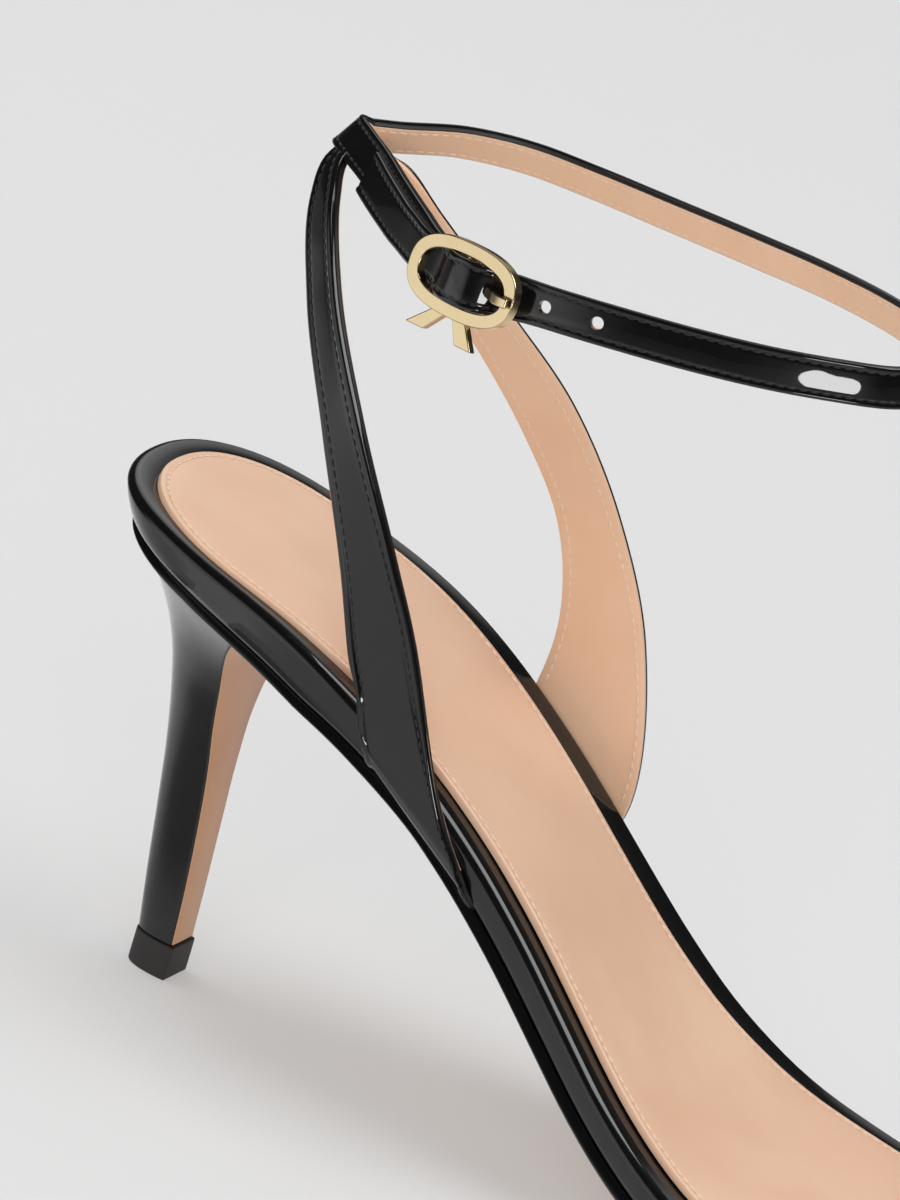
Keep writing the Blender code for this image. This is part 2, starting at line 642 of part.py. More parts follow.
def build_upper(patent):
    """Side straps and ankle strap as one solid, with its eye round the bar and its punched holes."""
    upper = make_object("ankle_upper", *ankle_strap(), patent)
    boolean(upper, side_strap("lateral_side_strap", -1, LATERAL_ROOT, LATERAL_STRAP), "UNION")
    boolean(upper, side_strap("medial_side_strap", 1, MEDIAL_ROOT, MEDIAL_STRAP), "UNION")
    half = ANKLE_WIDTH / 2
    boolean(upper, along_bar("strap_eye", half, EYE_RADIUS), "UNION")
    boolean(upper, along_bar("eye_bore", half + CUT_MARGIN, BAR_RADIUS + GAP), "DIFFERENCE")
    reach = EYE_RADIUS + GAP
    levels = (BAR_RISE - reach, BAR_RISE + reach)
    boolean(upper, buckle_box("eye_slot", (-reach, reach), (-EYE_SLOT, EYE_SLOT), levels), "DIFFERENCE")
    length, side = PRONG_SLOT
    ends = (PRONG_HOLE_U - length / 2, PRONG_HOLE_U + length / 2)
    boolean(upper, buckle_box("prong_hole", ends, (-side, side), PRONG_HOLE_DEPTH), "DIFFERENCE")
    for number in range(FREE_HOLES):
        run = np.array(ANKLE_GIRTH - FIRST_HOLE_U - number * HOLE_PITCH)
        middle, _, _, outward = ankle_frame(run)
        middle = middle + outward * rise_of(run)
        reach = outward * CUT_MARGIN
        punch = cylinder(f"punched_hole_{number}", middle - reach, middle + reach, HOLE_RADIUS)
        boolean(upper, punch, "DIFFERENCE")


def build_toe_strap(patent):
    """Plain strap over the toes, its ends on the rand's walls."""
    shares = np.linspace(0, 1, TOE_STRAP_COLUMNS)
    half = TOE_STRAP_WIDTH / 2
    root = ((TOE_STRAP_S - half, TOE_STRAP_S + half),) * 2
    lateral = root_points(-1, root, shares)
    medial = root_points(1, root, shares)
    left, right = lateral[-1].mean(axis=0), medial[-1].mean(axis=0)
    centre = (left + right) / 2
    reach = (right[1] - left[1]) / 2
    rows = []
    for turn in np.linspace(0, math.pi, TOE_STRAP_ROWS + 2)[1:-1]:
        lift = math.sin(turn) ** (2 / TOE_STRAP_POWER)
        across = math.copysign(abs(math.cos(turn)) ** (2 / TOE_STRAP_POWER), math.cos(turn))
        x = centre[0] - TOE_STRAP_BACK * lift
        y = centre[1] - reach * across
        z = centre[2] + (TOE_STRAP_RISE + STACK - centre[2]) * lift
        lay = TOE_STRAP_LAY * lift
        offset = (shares - 0.5) * TOE_STRAP_WIDTH
        row = np.broadcast_arrays(x + offset * math.cos(lay), y, z - offset * math.sin(lay))
        rows.append(np.stack(row, axis=1))
    every = lateral + rows + medial[::-1]
    turns = np.linspace(0, math.pi, TOE_STRAP_STATIONS)
    inner, length = through_rows(every, (1 - np.cos(turns)) / 2)
    ends = np.minimum(length, length[-1] - length)
    thickness = np.interp(ends, [0, SKIVE_LENGTH], [STRAP_SKIVED, STRAP_THICK])
    make_object("toe_strap", *strap_solid(inner[:, ::-1], thickness), patent)


def oval(length, height, n):
    """Ring of points round an oval in the buckle's frame."""
    turn = np.linspace(0, 2 * math.pi, RING_POINTS, endpoint=False)
    power = 2 / RING_POWER
    u = length / 2 * np.sign(np.cos(turn)) * np.abs(np.cos(turn)) ** power
    v = height / 2 * np.sign(np.sin(turn)) * np.abs(np.sin(turn)) ** power
    return buckle_point(u, v, n)


def build_buckle(gold):
    """Oval ring with its bar and two ribbon ends."""
    back, front = BAR_RISE, BAR_RISE + RING_THICK
    inner_length, inner_height = RING_LENGTH - 2 * RING_BAND, RING_HEIGHT - 2 * RING_BAND
    chamfer, bevel = 2 * RING_CHAMFER, 2 * RING_BEVEL
    loops = [
        oval(RING_LENGTH, RING_HEIGHT, back),
        oval(RING_LENGTH, RING_HEIGHT, front - RING_CHAMFER),
        oval(RING_LENGTH - chamfer, RING_HEIGHT - chamfer, front),
        oval(inner_length + bevel, inner_height + bevel, front),
        oval(inner_length, inner_height, front - RING_BEVEL),
        oval(inner_length, inner_height, back),
    ]
    points, faces = loft(loops + [loops[0]])
    last = len(loops) * RING_POINTS
    faces = [tuple(i - last if i >= last else i for i in face) for face in faces[:-2]]
    frame = make_object("buckle_frame", points[:last], faces, gold)
    boolean(frame, along_bar("bar", (RING_HEIGHT - RING_BAND) / 2, BAR_RADIUS), "UNION")
    low = -RING_HEIGHT / 2
    levels = (back + TAIL_INSET, back + TAIL_INSET + TAIL_THICK)
    for number, (start, stop, drop, wide) in enumerate(TAILS):
        root, tip = TAIL_ROOT_WIDTH / 2, wide / 2
        rings = [
            rectangle_in_buckle((start - root, start + root), low + RING_BAND / 2, levels),
            rectangle_in_buckle((stop - tip, stop + tip), low - drop, levels),
        ]
        boolean(frame, make_object(f"tail_{number}", *loft(rings), None, hidden=True), "UNION")


def build_prong(gold):
    """Prong with its eye round the bar and its tip on the ring."""
    wide = PRONG_WIDTH / 2
    across = np.array([-wide, wide, wide, -wide])
    upright = np.array([-1, -1, 1, 1])
    rings = [buckle_point(u, across, n + tall * upright) for u, n, tall in PRONG_PATH]
    prong = make_object("buckle_prong", *loft(rings), gold)
    wide += PRONG_EYE_EXTRA
    boolean(prong, along_bar("prong_eye", wide, PRONG_EYE_RADIUS), "UNION")
    boolean(prong, along_bar("prong_bore", wide + CUT_MARGIN, BAR_RADIUS + GAP), "DIFFERENCE")


def main():
    """Clears the scene and builds every node."""
    for old in list(bpy.data.objects):
        bpy.data.objects.remove(old, do_unlink=True)
    patent = material(*BLACK_PATENT)
    nude = material(*NUDE)
    rubber = material(*DARK_RUBBER)
    gold = material(*PALE_GOLD)
    build_sole(patent, nude)
    build_heel(patent, nude, rubber)
    build_upper(patent)
    build_toe_strap(patent)
    build_buckle(gold)
    build_prong(gold)


main()
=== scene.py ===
"""Looks of the heeled sandal, right shoe: patent straps and heel, nude leather inside, pale gold buckle.

Tables are in millimetres and meshes in metres. X runs to the toe, +Y is the medial side and Z is up.
"""
import math

import bpy
import numpy as np
from mathutils import Matrix


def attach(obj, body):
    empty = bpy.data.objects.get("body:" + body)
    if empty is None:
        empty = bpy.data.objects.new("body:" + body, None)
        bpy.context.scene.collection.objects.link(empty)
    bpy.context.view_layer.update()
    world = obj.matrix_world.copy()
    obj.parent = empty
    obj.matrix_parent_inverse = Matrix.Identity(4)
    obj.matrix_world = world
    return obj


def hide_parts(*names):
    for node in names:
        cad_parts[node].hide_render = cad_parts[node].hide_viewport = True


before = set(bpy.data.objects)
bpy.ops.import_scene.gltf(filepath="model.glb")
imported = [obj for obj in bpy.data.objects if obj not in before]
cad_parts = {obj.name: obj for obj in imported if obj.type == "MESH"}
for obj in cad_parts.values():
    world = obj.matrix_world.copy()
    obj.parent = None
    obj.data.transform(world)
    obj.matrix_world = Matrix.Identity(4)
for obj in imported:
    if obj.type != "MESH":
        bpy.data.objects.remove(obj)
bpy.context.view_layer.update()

MM = 0.001
GAP = 0.3  # clearance between neighbouring pieces
MERGE = 1e-6  # metres, closer vertices become one

# Sole line: arc length along the insole top from its back end, and slope down towards the toe.
INSOLE_BACK_X = -22.5
TREAD_S = 191.0
SLOPE = (  # s, degrees
    (0, 14), (34, 14.2), (60, 29.4), (75, 35.0), (90, 39.2), (105, 40.4), (120, 37.2), (135, 27.4),
    (148, 15.4), (160, 12.2), (170, 8.6), (183, 0), (199, 0), (218, -5), (250, -11),
)
SOLE_LINE_STEP = 0.5
SOLE_LINE_SPARE = 12.0
INSOLE_THICK = 1.4
RAND_THICK = 5.0
OUTSOLE_THICK = 1.9
STACK = INSOLE_THICK + RAND_THICK + OUTSOLE_THICK + 2 * GAP

# Insole outline: half widths to the lateral and medial side, and the shift of their middle.
INSOLE_START = 2.7
INSOLE_END = 238.0
HEEL_ROUND = 25.0
TOE_ROUND = 52.0
END_POWER = 2.25
OUTLINE = (  # s, lateral, medial, middle
    (0, 22.0, 22.0, 0.0), (28, 22.5, 22.0, 0.0), (45, 22.0, 21.8, 0.0), (60, 20.0, 20.8, 0.0),
    (75, 18.2, 19.8, 0.0), (90, 17.2, 19.2, 0.0), (105, 17.6, 19.6, 0.0), (120, 19.8, 21.6, 0.0),
    (135, 23.6, 25.2, 0.0), (150, 28.0, 28.7, 0.0), (165, 31.2, 31.2, 0.2), (185, 33.0, 32.8, 1.4),
    (210, 32.4, 32.4, 4.0), (238, 31.0, 31.0, 6.5),
)
RAND_REACH = (  # s, rand beyond the insole's edge on the lateral and on the medial side
    (0, 4.6, 4.6), (30, 4.6, 4.4), (60, 4.8, 5.4), (110, 5.0, 6.6), (150, 5.0, 4.7), (190, 4.8, 4.2),
    (238, 4.6, 4.6),
)
RAND_SHOULDER = (  # width and height of its rounded top edge
    (0.9, 0.9), (1.8, 1.6),  # on the medial and on the lateral side
)
SHOULDER_STEPS = 16
RIM_LEVEL = -0.8
RIM_BANK = 0.4
RIM_BANK_WIDTH = 18.0
WALL_TAPER = (  # s, wall drawn in at its foot
    (0, 2.2), (15, 2.1), (35, 1.1), (50, 0.2), (60, 0.0),
)
RIM_FALL = (  # share of the rim, its fall on the lateral and on the medial side
    (0.5, 0.0, 0.55), (0.2, 0.0, 0.95), (0.02, 0.03, 1.2),
)
RIM_DRAWN = (  # s, lateral rim drawn in and raised beside the heel
    (0, 0.0, 0.0), (6, 0.1, 0.1), (14, 1.2, 0.4), (24, 1.8, 0.5), (38, 1.1, 0.4), (54, 0.1, 0.1),
    (64, 0.0, 0.0), (238, 0.0, 0.0),
)
SAG = (  # s, how much lower the wall's foot and the outsole lie in front of the heel
    (0, 0.0), (22, 0.1), (36, 0.9), (48, 1.3), (60, 0.8), (76, 0.0), (238, 0.0),
)
OUTSOLE_IN = (  # s, outsole inside the rand's edge
    (0, 1.9), (40, 1.6), (62, 1.0), (85, 0.6), (150, 0.5), (238, 0.6),
)
RAND_FOOT = (  # inset, height and share of the taper of the rand's rounded lower edge
    (2.2, 0.0, 1.0), (1.4, 0.15, 1.0), (0.9, 0.4, 1.0), (0.45, 0.7, 1.0), (0.2, 1.0, 0.95), (0.0, 1.6, 0.8),
)
RAND_MIDDLE_TAPER = 0.35
OUTLINE_STATIONS = 130
NARROWING = (0.94, 0.8, 0.6, 0.4, 0.2, 0.0)  # rings between the edge and the middle line of a sole layer
OUTSOLE_EDGE = (  # inset and height of the painted edge, which leans in towards its top
    (0.9, 0.0), (0.4, 0.1), (0.1, 0.28), (0.0, 0.5), (0.1, 0.75), (0.75, 1.7), (0.9, 1.88), (1.2, 1.95),
    (2.8, 1.96), (2.8, 1.86), (1.3, 1.7), (0.75, 0.8),
)
EDGE_WALL = 0.5  # painted edge's own thickness at its foot
EDGE_LEAN = 0.8
TREAD_EDGE = (  # inset in thicknesses of the painted edge, and height, where the tread turns up
    (1, 0.6), (2, 0.1), (4, 0.0),
)
INSOLE_RIM = (  # inset and height: wall, raised bead, sewn groove, top
    (1.2, -1.4), (0.3, -1.35), (0.0, -1.1), (0.0, -0.35), (0.12, -0.1), (0.4, 0.02), (0.75, 0.04),
    (1.05, -0.04), (1.3, -0.12), (1.6, -0.04), (2.1, 0.0), (4.0, 0.02),
)
SEW_INSET = 1.3  # insole's stitches from its edge
SEW_LEVEL = -0.01

# Heel: level 0 is the joint with the top piece and level 1 the heel seat.
TOP_PIECE_HEIGHT = 5.8
TOP_PIECE_LIP = 0.25
TOP_PIECE_BEVEL = (0.35, 3)  # width and segments of its rounded edges
BREAST_THICK = 1.0
HEEL_SEAT_S = (0.0, 30.0)
HEEL_CORNER = 0.35
CORNER_ANGLES = (25.0, 50.0, 75.0)  # points round the corner, in degrees
HEEL_LEVELS = 60
HEEL_CROWDING = 1.5
HEEL_POINTS = 61
HEEL_FULLNESS = 0.9
COVER_INSET = 0.3
COVER_CHAMFER = 0.2
COVER_CORNER = 0.3  # rounding of the chamfer's corners as a share of it
COVER_PROUD = 0.2  # breast cover stands this far out of the heel's front
HEEL_SECTION = (  # level, back x, breast x, half width
    (0.00, -4.0, 2.5, 3.8), (0.15, -5.4, 2.1, 4.0), (0.33, -6.9, 1.4, 4.5), (0.50, -8.4, 0.6, 5.4),
    (0.64, -10.0, 0.0, 7.2), (0.75, -11.7, 0.2, 9.4), (0.84, -13.9, 0.9, 12.4),
    (0.91, -16.4, 2.4, 16.0), (0.96, -18.7, 4.4, 19.2), (1.00, -21.2, 7.6, 22.0),
)

# Straps.
STRAP_THICK = 1.8
STRAP_SKIVED = 1.0
SKIVE_LENGTH = 6.0
ANKLE_THICK = 1.5
ANKLE_WIDTH = 6.4
SIDE_STATIONS = 150
SURFACE_COLUMNS = 25
ROOT_CROWDING = 1.5
ROOT_ROWS = (  # height on the sole, clearance to the rand, place from bottom to top
    (-6.8, 0.05, 0.00), (-6.0, 0.50, 0.15), (-4.7, 0.65, 0.40), (-2.8, 0.65, 0.75), (-0.8, 0.75, 1.00),
)
TUCKED_ROWS = (  # the same where the strap turns in under its lower end
    (-5.9, -1.1, 0.00), (-5.75, -0.4, 0.04), (-5.3, 0.2, 0.13), (-4.5, 0.5, 0.32), (-2.7, 0.6, 0.72),
    (-0.8, 0.75, 1.00),
)
TUCK_BOW = 1.3
LATERAL_ROOT = ((63.5, 92.0), (56.5, 76.0))  # rear and front s, at the bottom and at the top
MEDIAL_ROOT = ((68.0, 94.0), (64.5, 90.0))
LATERAL_STRAP = (  # rear x, y, z, then front x, y, z
    (26.9, -26.0, 72.1, 36.6, -24.9, 76.8), (22.0, -25.5, 83.5, 30.2, -25.9, 88.2),
    (11.6, -22.0, 101.8, 18.0, -24.5, 106.0), (-0.2, -13.6, 117.8, 5.1, -17.2, 122.0),
    (-7.2, -6.2, 130.1, -2.4, -9.8, 133.3), (-8.7, -2.1, 135.0, -5.1, -4.1, 136.6),
    (-7.6, 2.6, 139.1, -4.6, -0.6, 139.7),
)
MEDIAL_STRAP = (
    (37.4, 26.8, 76.4, 52.4, 28.0, 73.4), (32.6, 26.4, 87.6, 42.2, 27.8, 90.6),
    (24.0, 23.8, 98.9, 31.2, 25.2, 104.6), (14.0, 18.0, 111.0, 18.8, 19.0, 116.8),
    (2.6, 10.8, 123.6, 7.0, 11.4, 128.8), (-5.0, 4.2, 134.6, -1.0, 4.6, 137.3),
    (-8.4, 5.3, 137.5, -6.4, 5.6, 138.5),
)
FOLDED_EDGE = (  # inset, share of the thickness, from the inner to the outer face
    (1.0, 0.0), (0.3, 0.0), (0.08, 0.06), (0.0, 0.18), (0.0, 0.43), (0.14, 0.5), (0.0, 0.57), (0.0, 0.78),
    (0.06, 0.92), (0.3, 1.02), (0.75, 1.06), (1.15, 1.0), (1.5, 0.93), (1.85, 0.98), (2.4, 1.0),
)
LINED_EDGE = (  # the same where the lining comes half way up the edge
    (1.0, 0.5), (0.3, 0.5), (0.1, 0.53), (0.02, 0.58), (0.0, 0.66), (0.0, 0.8),
    (0.06, 0.92), (0.3, 1.02), (0.75, 1.06), (1.15, 1.0), (1.5, 0.93), (1.85, 0.98), (2.4, 1.0),
)
EDGE_PAINT_AND_SHADE_FACES = range(2, 5)  # faces of the folded edge with the dark edge finish: edge paint on the ankle strap, painted shade of the lining's edge on the lateral strap
NO_PAINT = ()
INNER_LINING = (  # inset, share of the thickness above the strap's inner face
    (1.2, -0.09), (0.5, -0.09), (0.3, -0.06), (0.25, 0.06), (1.0, 0.06),
)
FULL_LINING = (
    (1.2, -0.09), (0.3, -0.09), (0.1, -0.06), (0.02, 0.04), (0.02, 0.42), (0.1, 0.5), (1.0, 0.52),
)
# The lateral strap's folded edge, whose dark inner half is painted shade of the nude lining's edge.
FOLDED = (FOLDED_EDGE, EDGE_PAINT_AND_SHADE_FACES, INNER_LINING)
LINED = (LINED_EDGE, NO_PAINT, FULL_LINING)
LINING_START = 5.0  # length of a strap's end that is left unlined
SEAM_INSET = 1.5  # stitch rows from a side or toe strap's edge
NARROW = 0.7  # the ankle strap's rounded edge and seam, beside those of the wider straps
SEAM_LEVEL = 0.96  # heights of the stitches as shares of the thickness
LINING_SEAM_LEVEL = -0.11
SIDE_SKIPS = ((LINING_START, 4.0), (3.0, 6.0))  # start and end left unsewn, outside and on the lining
ANKLE_SKIPS = ((6.0, 1.5), (3.0, 1.5))
TOE_SKIPS = ((LINING_START, LINING_START), (3.0, 3.0))
STITCH_PITCH = 1.75
STITCH_SIZE = (1.35, 0.46, 0.34)  # length, width and height
STITCH_SIDES = 6
STITCH_RINGS = 5

# Ankle strap: middle line of the closed loop, with the lean of its face away from upright.
ANKLE_LOOP = (  # x, y, z, lean in degrees
    (32.2, -34.4, 136.9, 8), (23.0, -29.2, 136.8, 9), (16.2, -22.8, 137.4, 12), (8.6, -15.6, 138.2, 18),
    (0.8, -7.8, 139.0, 26), (-5.2, -2.4, 139.6, 31), (-8.6, 1.4, 139.8, 32), (-8.5, 5.2, 138.9, 32),
    (-5.2, 8.9, 139.0, 31), (4.0, 17.6, 140.3, 31), (13.0, 24.0, 140.1, 31), (23.0, 26.8, 139.6, 30),
    (37.0, 26.6, 139.7, 29), (52.0, 26.0, 139.9, 28), (64.5, 24.6, 140.2, 28), (77.0, 21.0, 140.4, 25),
    (89.0, 12.6, 140.8, 20), (95.6, 0.0, 141.2, 14), (92.4, -14.0, 140.8, 9), (85.0, -20.0, 140.2, 8),
    (76.6, -25.0, 139.6, 8), (66.6, -29.4, 139.1, 8), (56.0, -32.6, 138.6, 8), (44.0, -34.8, 137.9, 8),
)
TANGENT_STEP = 1.5
LOOP_STEP = 0.5
STRAP_STEP = 1.2  # spacing of the ankle strap's sections
STRAP_START = 2.0  # the strap leaves the fold round the bar here
TIP_LENGTH = 40.0
TIP_SHEAR = 3.0
SHEAR_REACH = 6.0
TIP_DROP = 0.9
DROP_REACH = 14.0
LAYER_RISE = 1.8
BAR_RISE = 2.0
BAR_RADIUS = 0.8
FOLD_REACH = 8.0
EYE_RADIUS = 2.0
EYE_SLOT = 1.25
ARCH_RISE = 3.1
ARCH_REACH = 7.5
RING_SPREAD = 0.45  # strap widens a little where it is pressed into the ring
SPREAD_REACH = 13.0
FIRST_HOLE_U = 12.0
HOLE_PITCH = 8.2
HOLE_RADIUS = 1.0
HOLE_SIDES = 28
FREE_HOLES = 2
PUNCH_REACH = 4.0

# Buckle. A bevel is the width and the segments of rounded edges.
RING_LENGTH = 21.0
RING_HEIGHT = 11.8
RING_BAND = 2.1
RING_THICK = 1.8
RING_POWER = 2.6
RING_POINTS = 120
RING_PROFILE = (  # inset from the outer edge as a share of the band, share of the thickness
    (0.06, 0.0), (0.0, 0.08), (0.0, 0.15), (0.0, 0.82), (0.0, 0.88), (0.02, 0.96), (0.07, 1.0), (0.12, 1.0),
    (0.88, 1.0), (0.93, 1.0), (0.98, 0.96), (1.0, 0.88), (1.0, 0.82), (1.0, 0.15), (1.0, 0.08), (0.94, 0.0),
)
ROD_SIDES = 32
BAR_BEVEL = (0.15, 2)
TAIL_BEVEL = (0.22, 3)
PRONG_BEVEL = (0.3, 3)
EYE_BEVEL = (0.2, 2)
FOLD_BEVEL = (0.25, 2)
PRONG_WIDTH = 1.6
PRONG_EYE_RADIUS = 1.9
PRONG_PATH = (  # u, n, half height
    (0.9, 1.95, 0.5), (3.0, 2.0, 0.5), (4.6, 2.5, 0.5), (6.2, 3.6, 0.5), (7.8, 4.6, 0.5), (10.2, 4.7, 0.4),
)
TAILS = (  # start u, end u, drop of the end below the ring, width at the end
    (-1.4, -5.8, 3.2, 3.6), (1.4, 4.2, 3.4, 3.4),
)
TAIL_ROOT_WIDTH = 2.6
TAIL_THICK = 1.4
TAIL_INSET = 0.2

# Toe strap.
TOE_STRAP_S = 197.0
TOE_STRAP_WIDTH = 10.0
TOE_STRAP_RISE = 27.0
TOE_STRAP_BACK = 5.0
TOE_STRAP_ROWS = 13
TOE_STRAP_STATIONS = 150
TOE_STRAP_POWER = 2.5
TOE_STRAP_LAY = 0.35

# Camera: direction round the shoe and above it, roll, distance and the point it looks at.
CAMERA_TURN = 20.5
CAMERA_RISE = 19.0
CAMERA_ROLL = 17.0
CAMERA_DISTANCE = 1.3488
CAMERA_AIM = (0.03009, 0.0, 0.07672)
CAMERA_LENS = 262.08  # on a 36 mm sensor along the longer side
SENSOR = 36.0
CAMERA_CLIP = (0.05, 50.0)

# Room, floor and lights. Matt surfaces and gloss see different rooms, so that the black stays deep.
ROOM_PALE = "#BCBCBC"  # what lights the matt surfaces
ROOM_DARK = "#2C2C2C"  # what the gloss mirrors
ROOM_BRIGHT = "#FFFFFF"  # and on the two pale sides of the room
PALE_SIDE = (-0.55, -0.835, 0.0)
PALE_EDGES = (0.72, 0.95)  # nearness to the side's direction at which it starts and is full
BACK_SIDE = (-0.25, 0.7, 0.67)
BACK_EDGES = (0.9, 0.985)
FLOOR_SIZE = 12.0
FLOOR_PALE = "#B4B4B4"
FLOOR_GLOW = 0.6  # lightens the shadow
FLOOR_DARK = "#505050"  # the floor in the gloss, beyond these distances in metres from its middle
FLOOR_NEAR = 0.2
FLOOR_FAR = 0.6
FLOOR_MIDDLE = (0.0, -0.1, 0.0)
FLOOR_BRIGHT = "#E8E8E8"  # and towards the pale side
FLOOR_SHADE = "#747474"  # and beside the heel, within these distances of the shade's middle
SHADE_MIDDLE = (-0.045, -0.07, 0.0)
SHADE_NEAR = 0.035
SHADE_FAR = 0.065
LIGHTS = (  # name, shape, place, point looked at, size, power, surfaces it lights
    ("soft box above", "RECTANGLE", (-0.95, 0.15, 2.65), (0.05, 0.0, 0.0), (1.2, 1.2), 26.0, "matt"),
    ("overhead sheen", "RECTANGLE", (1.4, 0.3, 2.3), (0.05, 0.0, 0.0), (1.8, 1.8), 46.0, "gloss"),
    ("small lamp right", "ELLIPSE", (1.0, -0.9, 0.08), (0.085, -0.02, 0.14), (0.26, 0.19), 2.0, "gloss"),
    ("front fill", "RECTANGLE", (0.6, -1.8, 1.0), (0.05, 0.0, 0.08), (1.4, 1.0), 13.5, "matt"),
    ("top fill", "RECTANGLE", (1.0, 0.3, 2.4), (0.05, 0.0, 0.0), (1.9, 1.9), 15.0, "matt"),
)

ROUND_ANGLE = 40.0  # degrees, edges sharper than this stay crisp


def smooth(keys, values, at):
    """Cubic curve through the rows: keys rise, values are numbers or points."""
    keys = np.asarray(keys, float)
    values = np.asarray(values, float)
    at = np.asarray(at, float)
    step = np.diff(keys)
    flat = values.ndim == 1
    if flat:
        values = values[:, None]
    rate = np.diff(values, axis=0) / step[:, None]
    tangent = np.empty_like(values)
    tangent[0] = rate[0]
    tangent[-1] = rate[-1]
    before, after = step[:-1, None], step[1:, None]
    tangent[1:-1] = (rate[:-1] * after + rate[1:] * before) / (before + after)
    row = np.clip(np.searchsorted(keys, at, side="right") - 1, 0, len(step) - 1)
    width = step[row][..., None]
    t = (at - keys[row])[..., None] / width
    result = (
        (1 + 2 * t) * (1 - t) ** 2 * values[row]
        + t * (1 - t) ** 2 * width * tangent[row]
        + t ** 2 * (3 - 2 * t) * values[row + 1]
        + t ** 2 * (t - 1) * width * tangent[row + 1]
    )
    return result[..., 0] if flat else result


def column(table, index):
    """One column of a table."""
    return [row[index] for row in table]


def curve(table, index, at):
    """Cubic curve through one column of a table, over its first column."""
    return smooth(column(table, 0), column(table, index), at)


def straight(table, at):
    """Straight lines through a table's two columns."""
    return np.interp(at, column(table, 0), column(table, 1))


def unit(vectors):
    """Vectors scaled to length one."""
    return vectors / np.linalg.norm(vectors, axis=-1, keepdims=True)


def lengths_along(points):
    """Length from the first point to each point of a line."""
    steps = np.linalg.norm(np.diff(points, axis=0), axis=1)
    return np.concatenate(([0.0], np.cumsum(steps)))


def make_sole_line():
    """Points and slope of the sole line, in short steps and a little past both ends."""
    s = np.arange(-SOLE_LINE_SPARE, INSOLE_END + SOLE_LINE_SPARE, SOLE_LINE_STEP)
    slope = np.radians(straight(SLOPE, s))
    mean = (slope[1:] + slope[:-1]) / 2
    x = np.concatenate(([0.0], np.cumsum(np.cos(mean) * np.diff(s))))
    z = np.concatenate(([0.0], np.cumsum(-np.sin(mean) * np.diff(s))))
    x += INSOLE_BACK_X - np.interp(0.0, s, x)
    z += STACK - np.interp(TREAD_S, s, z)
    return s, x, z, slope


SOLE_LINE = make_sole_line()


def on_sole(s, y, h):
    """Point at arc length s, side y and height h above the insole's top."""
    line_s, line_x, line_z, line_slope = SOLE_LINE
    slope = np.interp(s, line_s, line_slope)
    x = np.interp(s, line_s, line_x) + h * np.sin(slope)
    z = np.interp(s, line_s, line_z) + h * np.cos(slope)
    return np.stack(np.broadcast_arrays(x, y, z), axis=-1)


def insole_half(s, side):
    """Side position of the insole's edge: side is -1 for lateral and 1 for medial."""
    reach = curve(OUTLINE, 1 if side < 0 else 2, s)
    middle = curve(OUTLINE, 3, s)
    heel = np.clip((INSOLE_START + HEEL_ROUND - s) / HEEL_ROUND, 0, 1)
    toe = np.clip((s - INSOLE_END + TOE_ROUND) / TOE_ROUND, 0, 1)
    ends = np.clip(1 - heel ** END_POWER, 0, 1) * np.clip(1 - toe ** END_POWER, 0, 1)
    return middle + side * reach * ends ** (1 / END_POWER)


def make_outline():
    """Insole outline as a loop of (s, y): lateral side to the toe, then medial side back."""
    turn = np.linspace(0, math.pi, OUTLINE_STATIONS)
    s = INSOLE_START + (INSOLE_END - INSOLE_START) * (1 - np.cos(turn)) / 2
    lateral = np.stack((s, insole_half(s, -1)), axis=1)
    medial = np.stack((s, insole_half(s, 1)), axis=1)[1:-1][::-1]
    return np.concatenate((lateral, medial))


OUTLINE_LOOP = make_outline()


def rand_reach(s, side):
    """Width of the rand beyond the insole's edge: side is -1 for lateral and 1 for medial, or between."""
    s = np.clip(s, 0, INSOLE_END)
    lateral = curve(RAND_REACH, 1, s)
    medial = curve(RAND_REACH, 2, s)
    return lateral + (medial - lateral) * (1 + side) / 2


def side_share(y):
    """-1 on the lateral side and 1 on the medial side, with an even change across the ends."""
    return np.clip(y / RIM_BANK_WIDTH, -1, 1)


def wall_taper(s):
    """How far the sole's wall is drawn in at its foot."""
    return np.maximum(curve(WALL_TAPER, 1, np.clip(s, 0, WALL_TAPER[-1][0])), 0)


def offset_outline(reach, outset, drawn_in):
    """Insole outline moved out by an outset and a share of the rand's reach, less a share of the taper."""
    along = unit(np.roll(OUTLINE_LOOP, -1, axis=0) - np.roll(OUTLINE_LOOP, 1, axis=0))
    outward = np.stack((along[:, 1], -along[:, 0]), axis=1)
    s, y = OUTLINE_LOOP.T
    distance = reach * rand_reach(s, side_share(y)) + outset - drawn_in * wall_taper(s)
    return OUTLINE_LOOP + distance[:, None] * outward


def sole_ring(reach, outset, height, bank, drawn_in, narrow=1.0):
    """Loop round the sole. The bank raises the medial side, and narrow draws the loop to its middle line."""
    flat = offset_outline(reach, outset, drawn_in)
    across = np.concatenate((flat[:1], flat[1:][::-1]))
    middle = (flat + across) / 2
    s, y = (middle + (flat - middle) * narrow).T
    loop = on_sole(s, y, height + bank * side_share(OUTLINE_LOOP[:, 1]))
    return np.concatenate((loop, loop[:1]))


def rand_edge(s, side):
    """Side position of the rand's wall."""
    loop = offset_outline(1, 0, 0)
    if side < 0:
        half = loop[:OUTLINE_STATIONS]
    else:
        half = np.concatenate((loop[OUTLINE_STATIONS - 1:], loop[:1]))[::-1]
    return np.interp(s, half[:, 0], half[:, 1])


def heel_seat_z(x):
    """Height of the heel seat under the outsole, a plane."""
    behind, ahead = on_sole(np.array(HEEL_SEAT_S), 0.0, -STACK - GAP)
    rise = (ahead[2] - behind[2]) / (ahead[0] - behind[0])
    return behind[2] + rise * (x - behind[0])


def heel_point(x, y, level):
    """Point of the heel at a level between the top piece and the seat."""
    foot = TOP_PIECE_HEIGHT + GAP
    return np.stack(np.broadcast_arrays(x, y, foot + level * (heel_seat_z(x) - foot)), axis=-1)


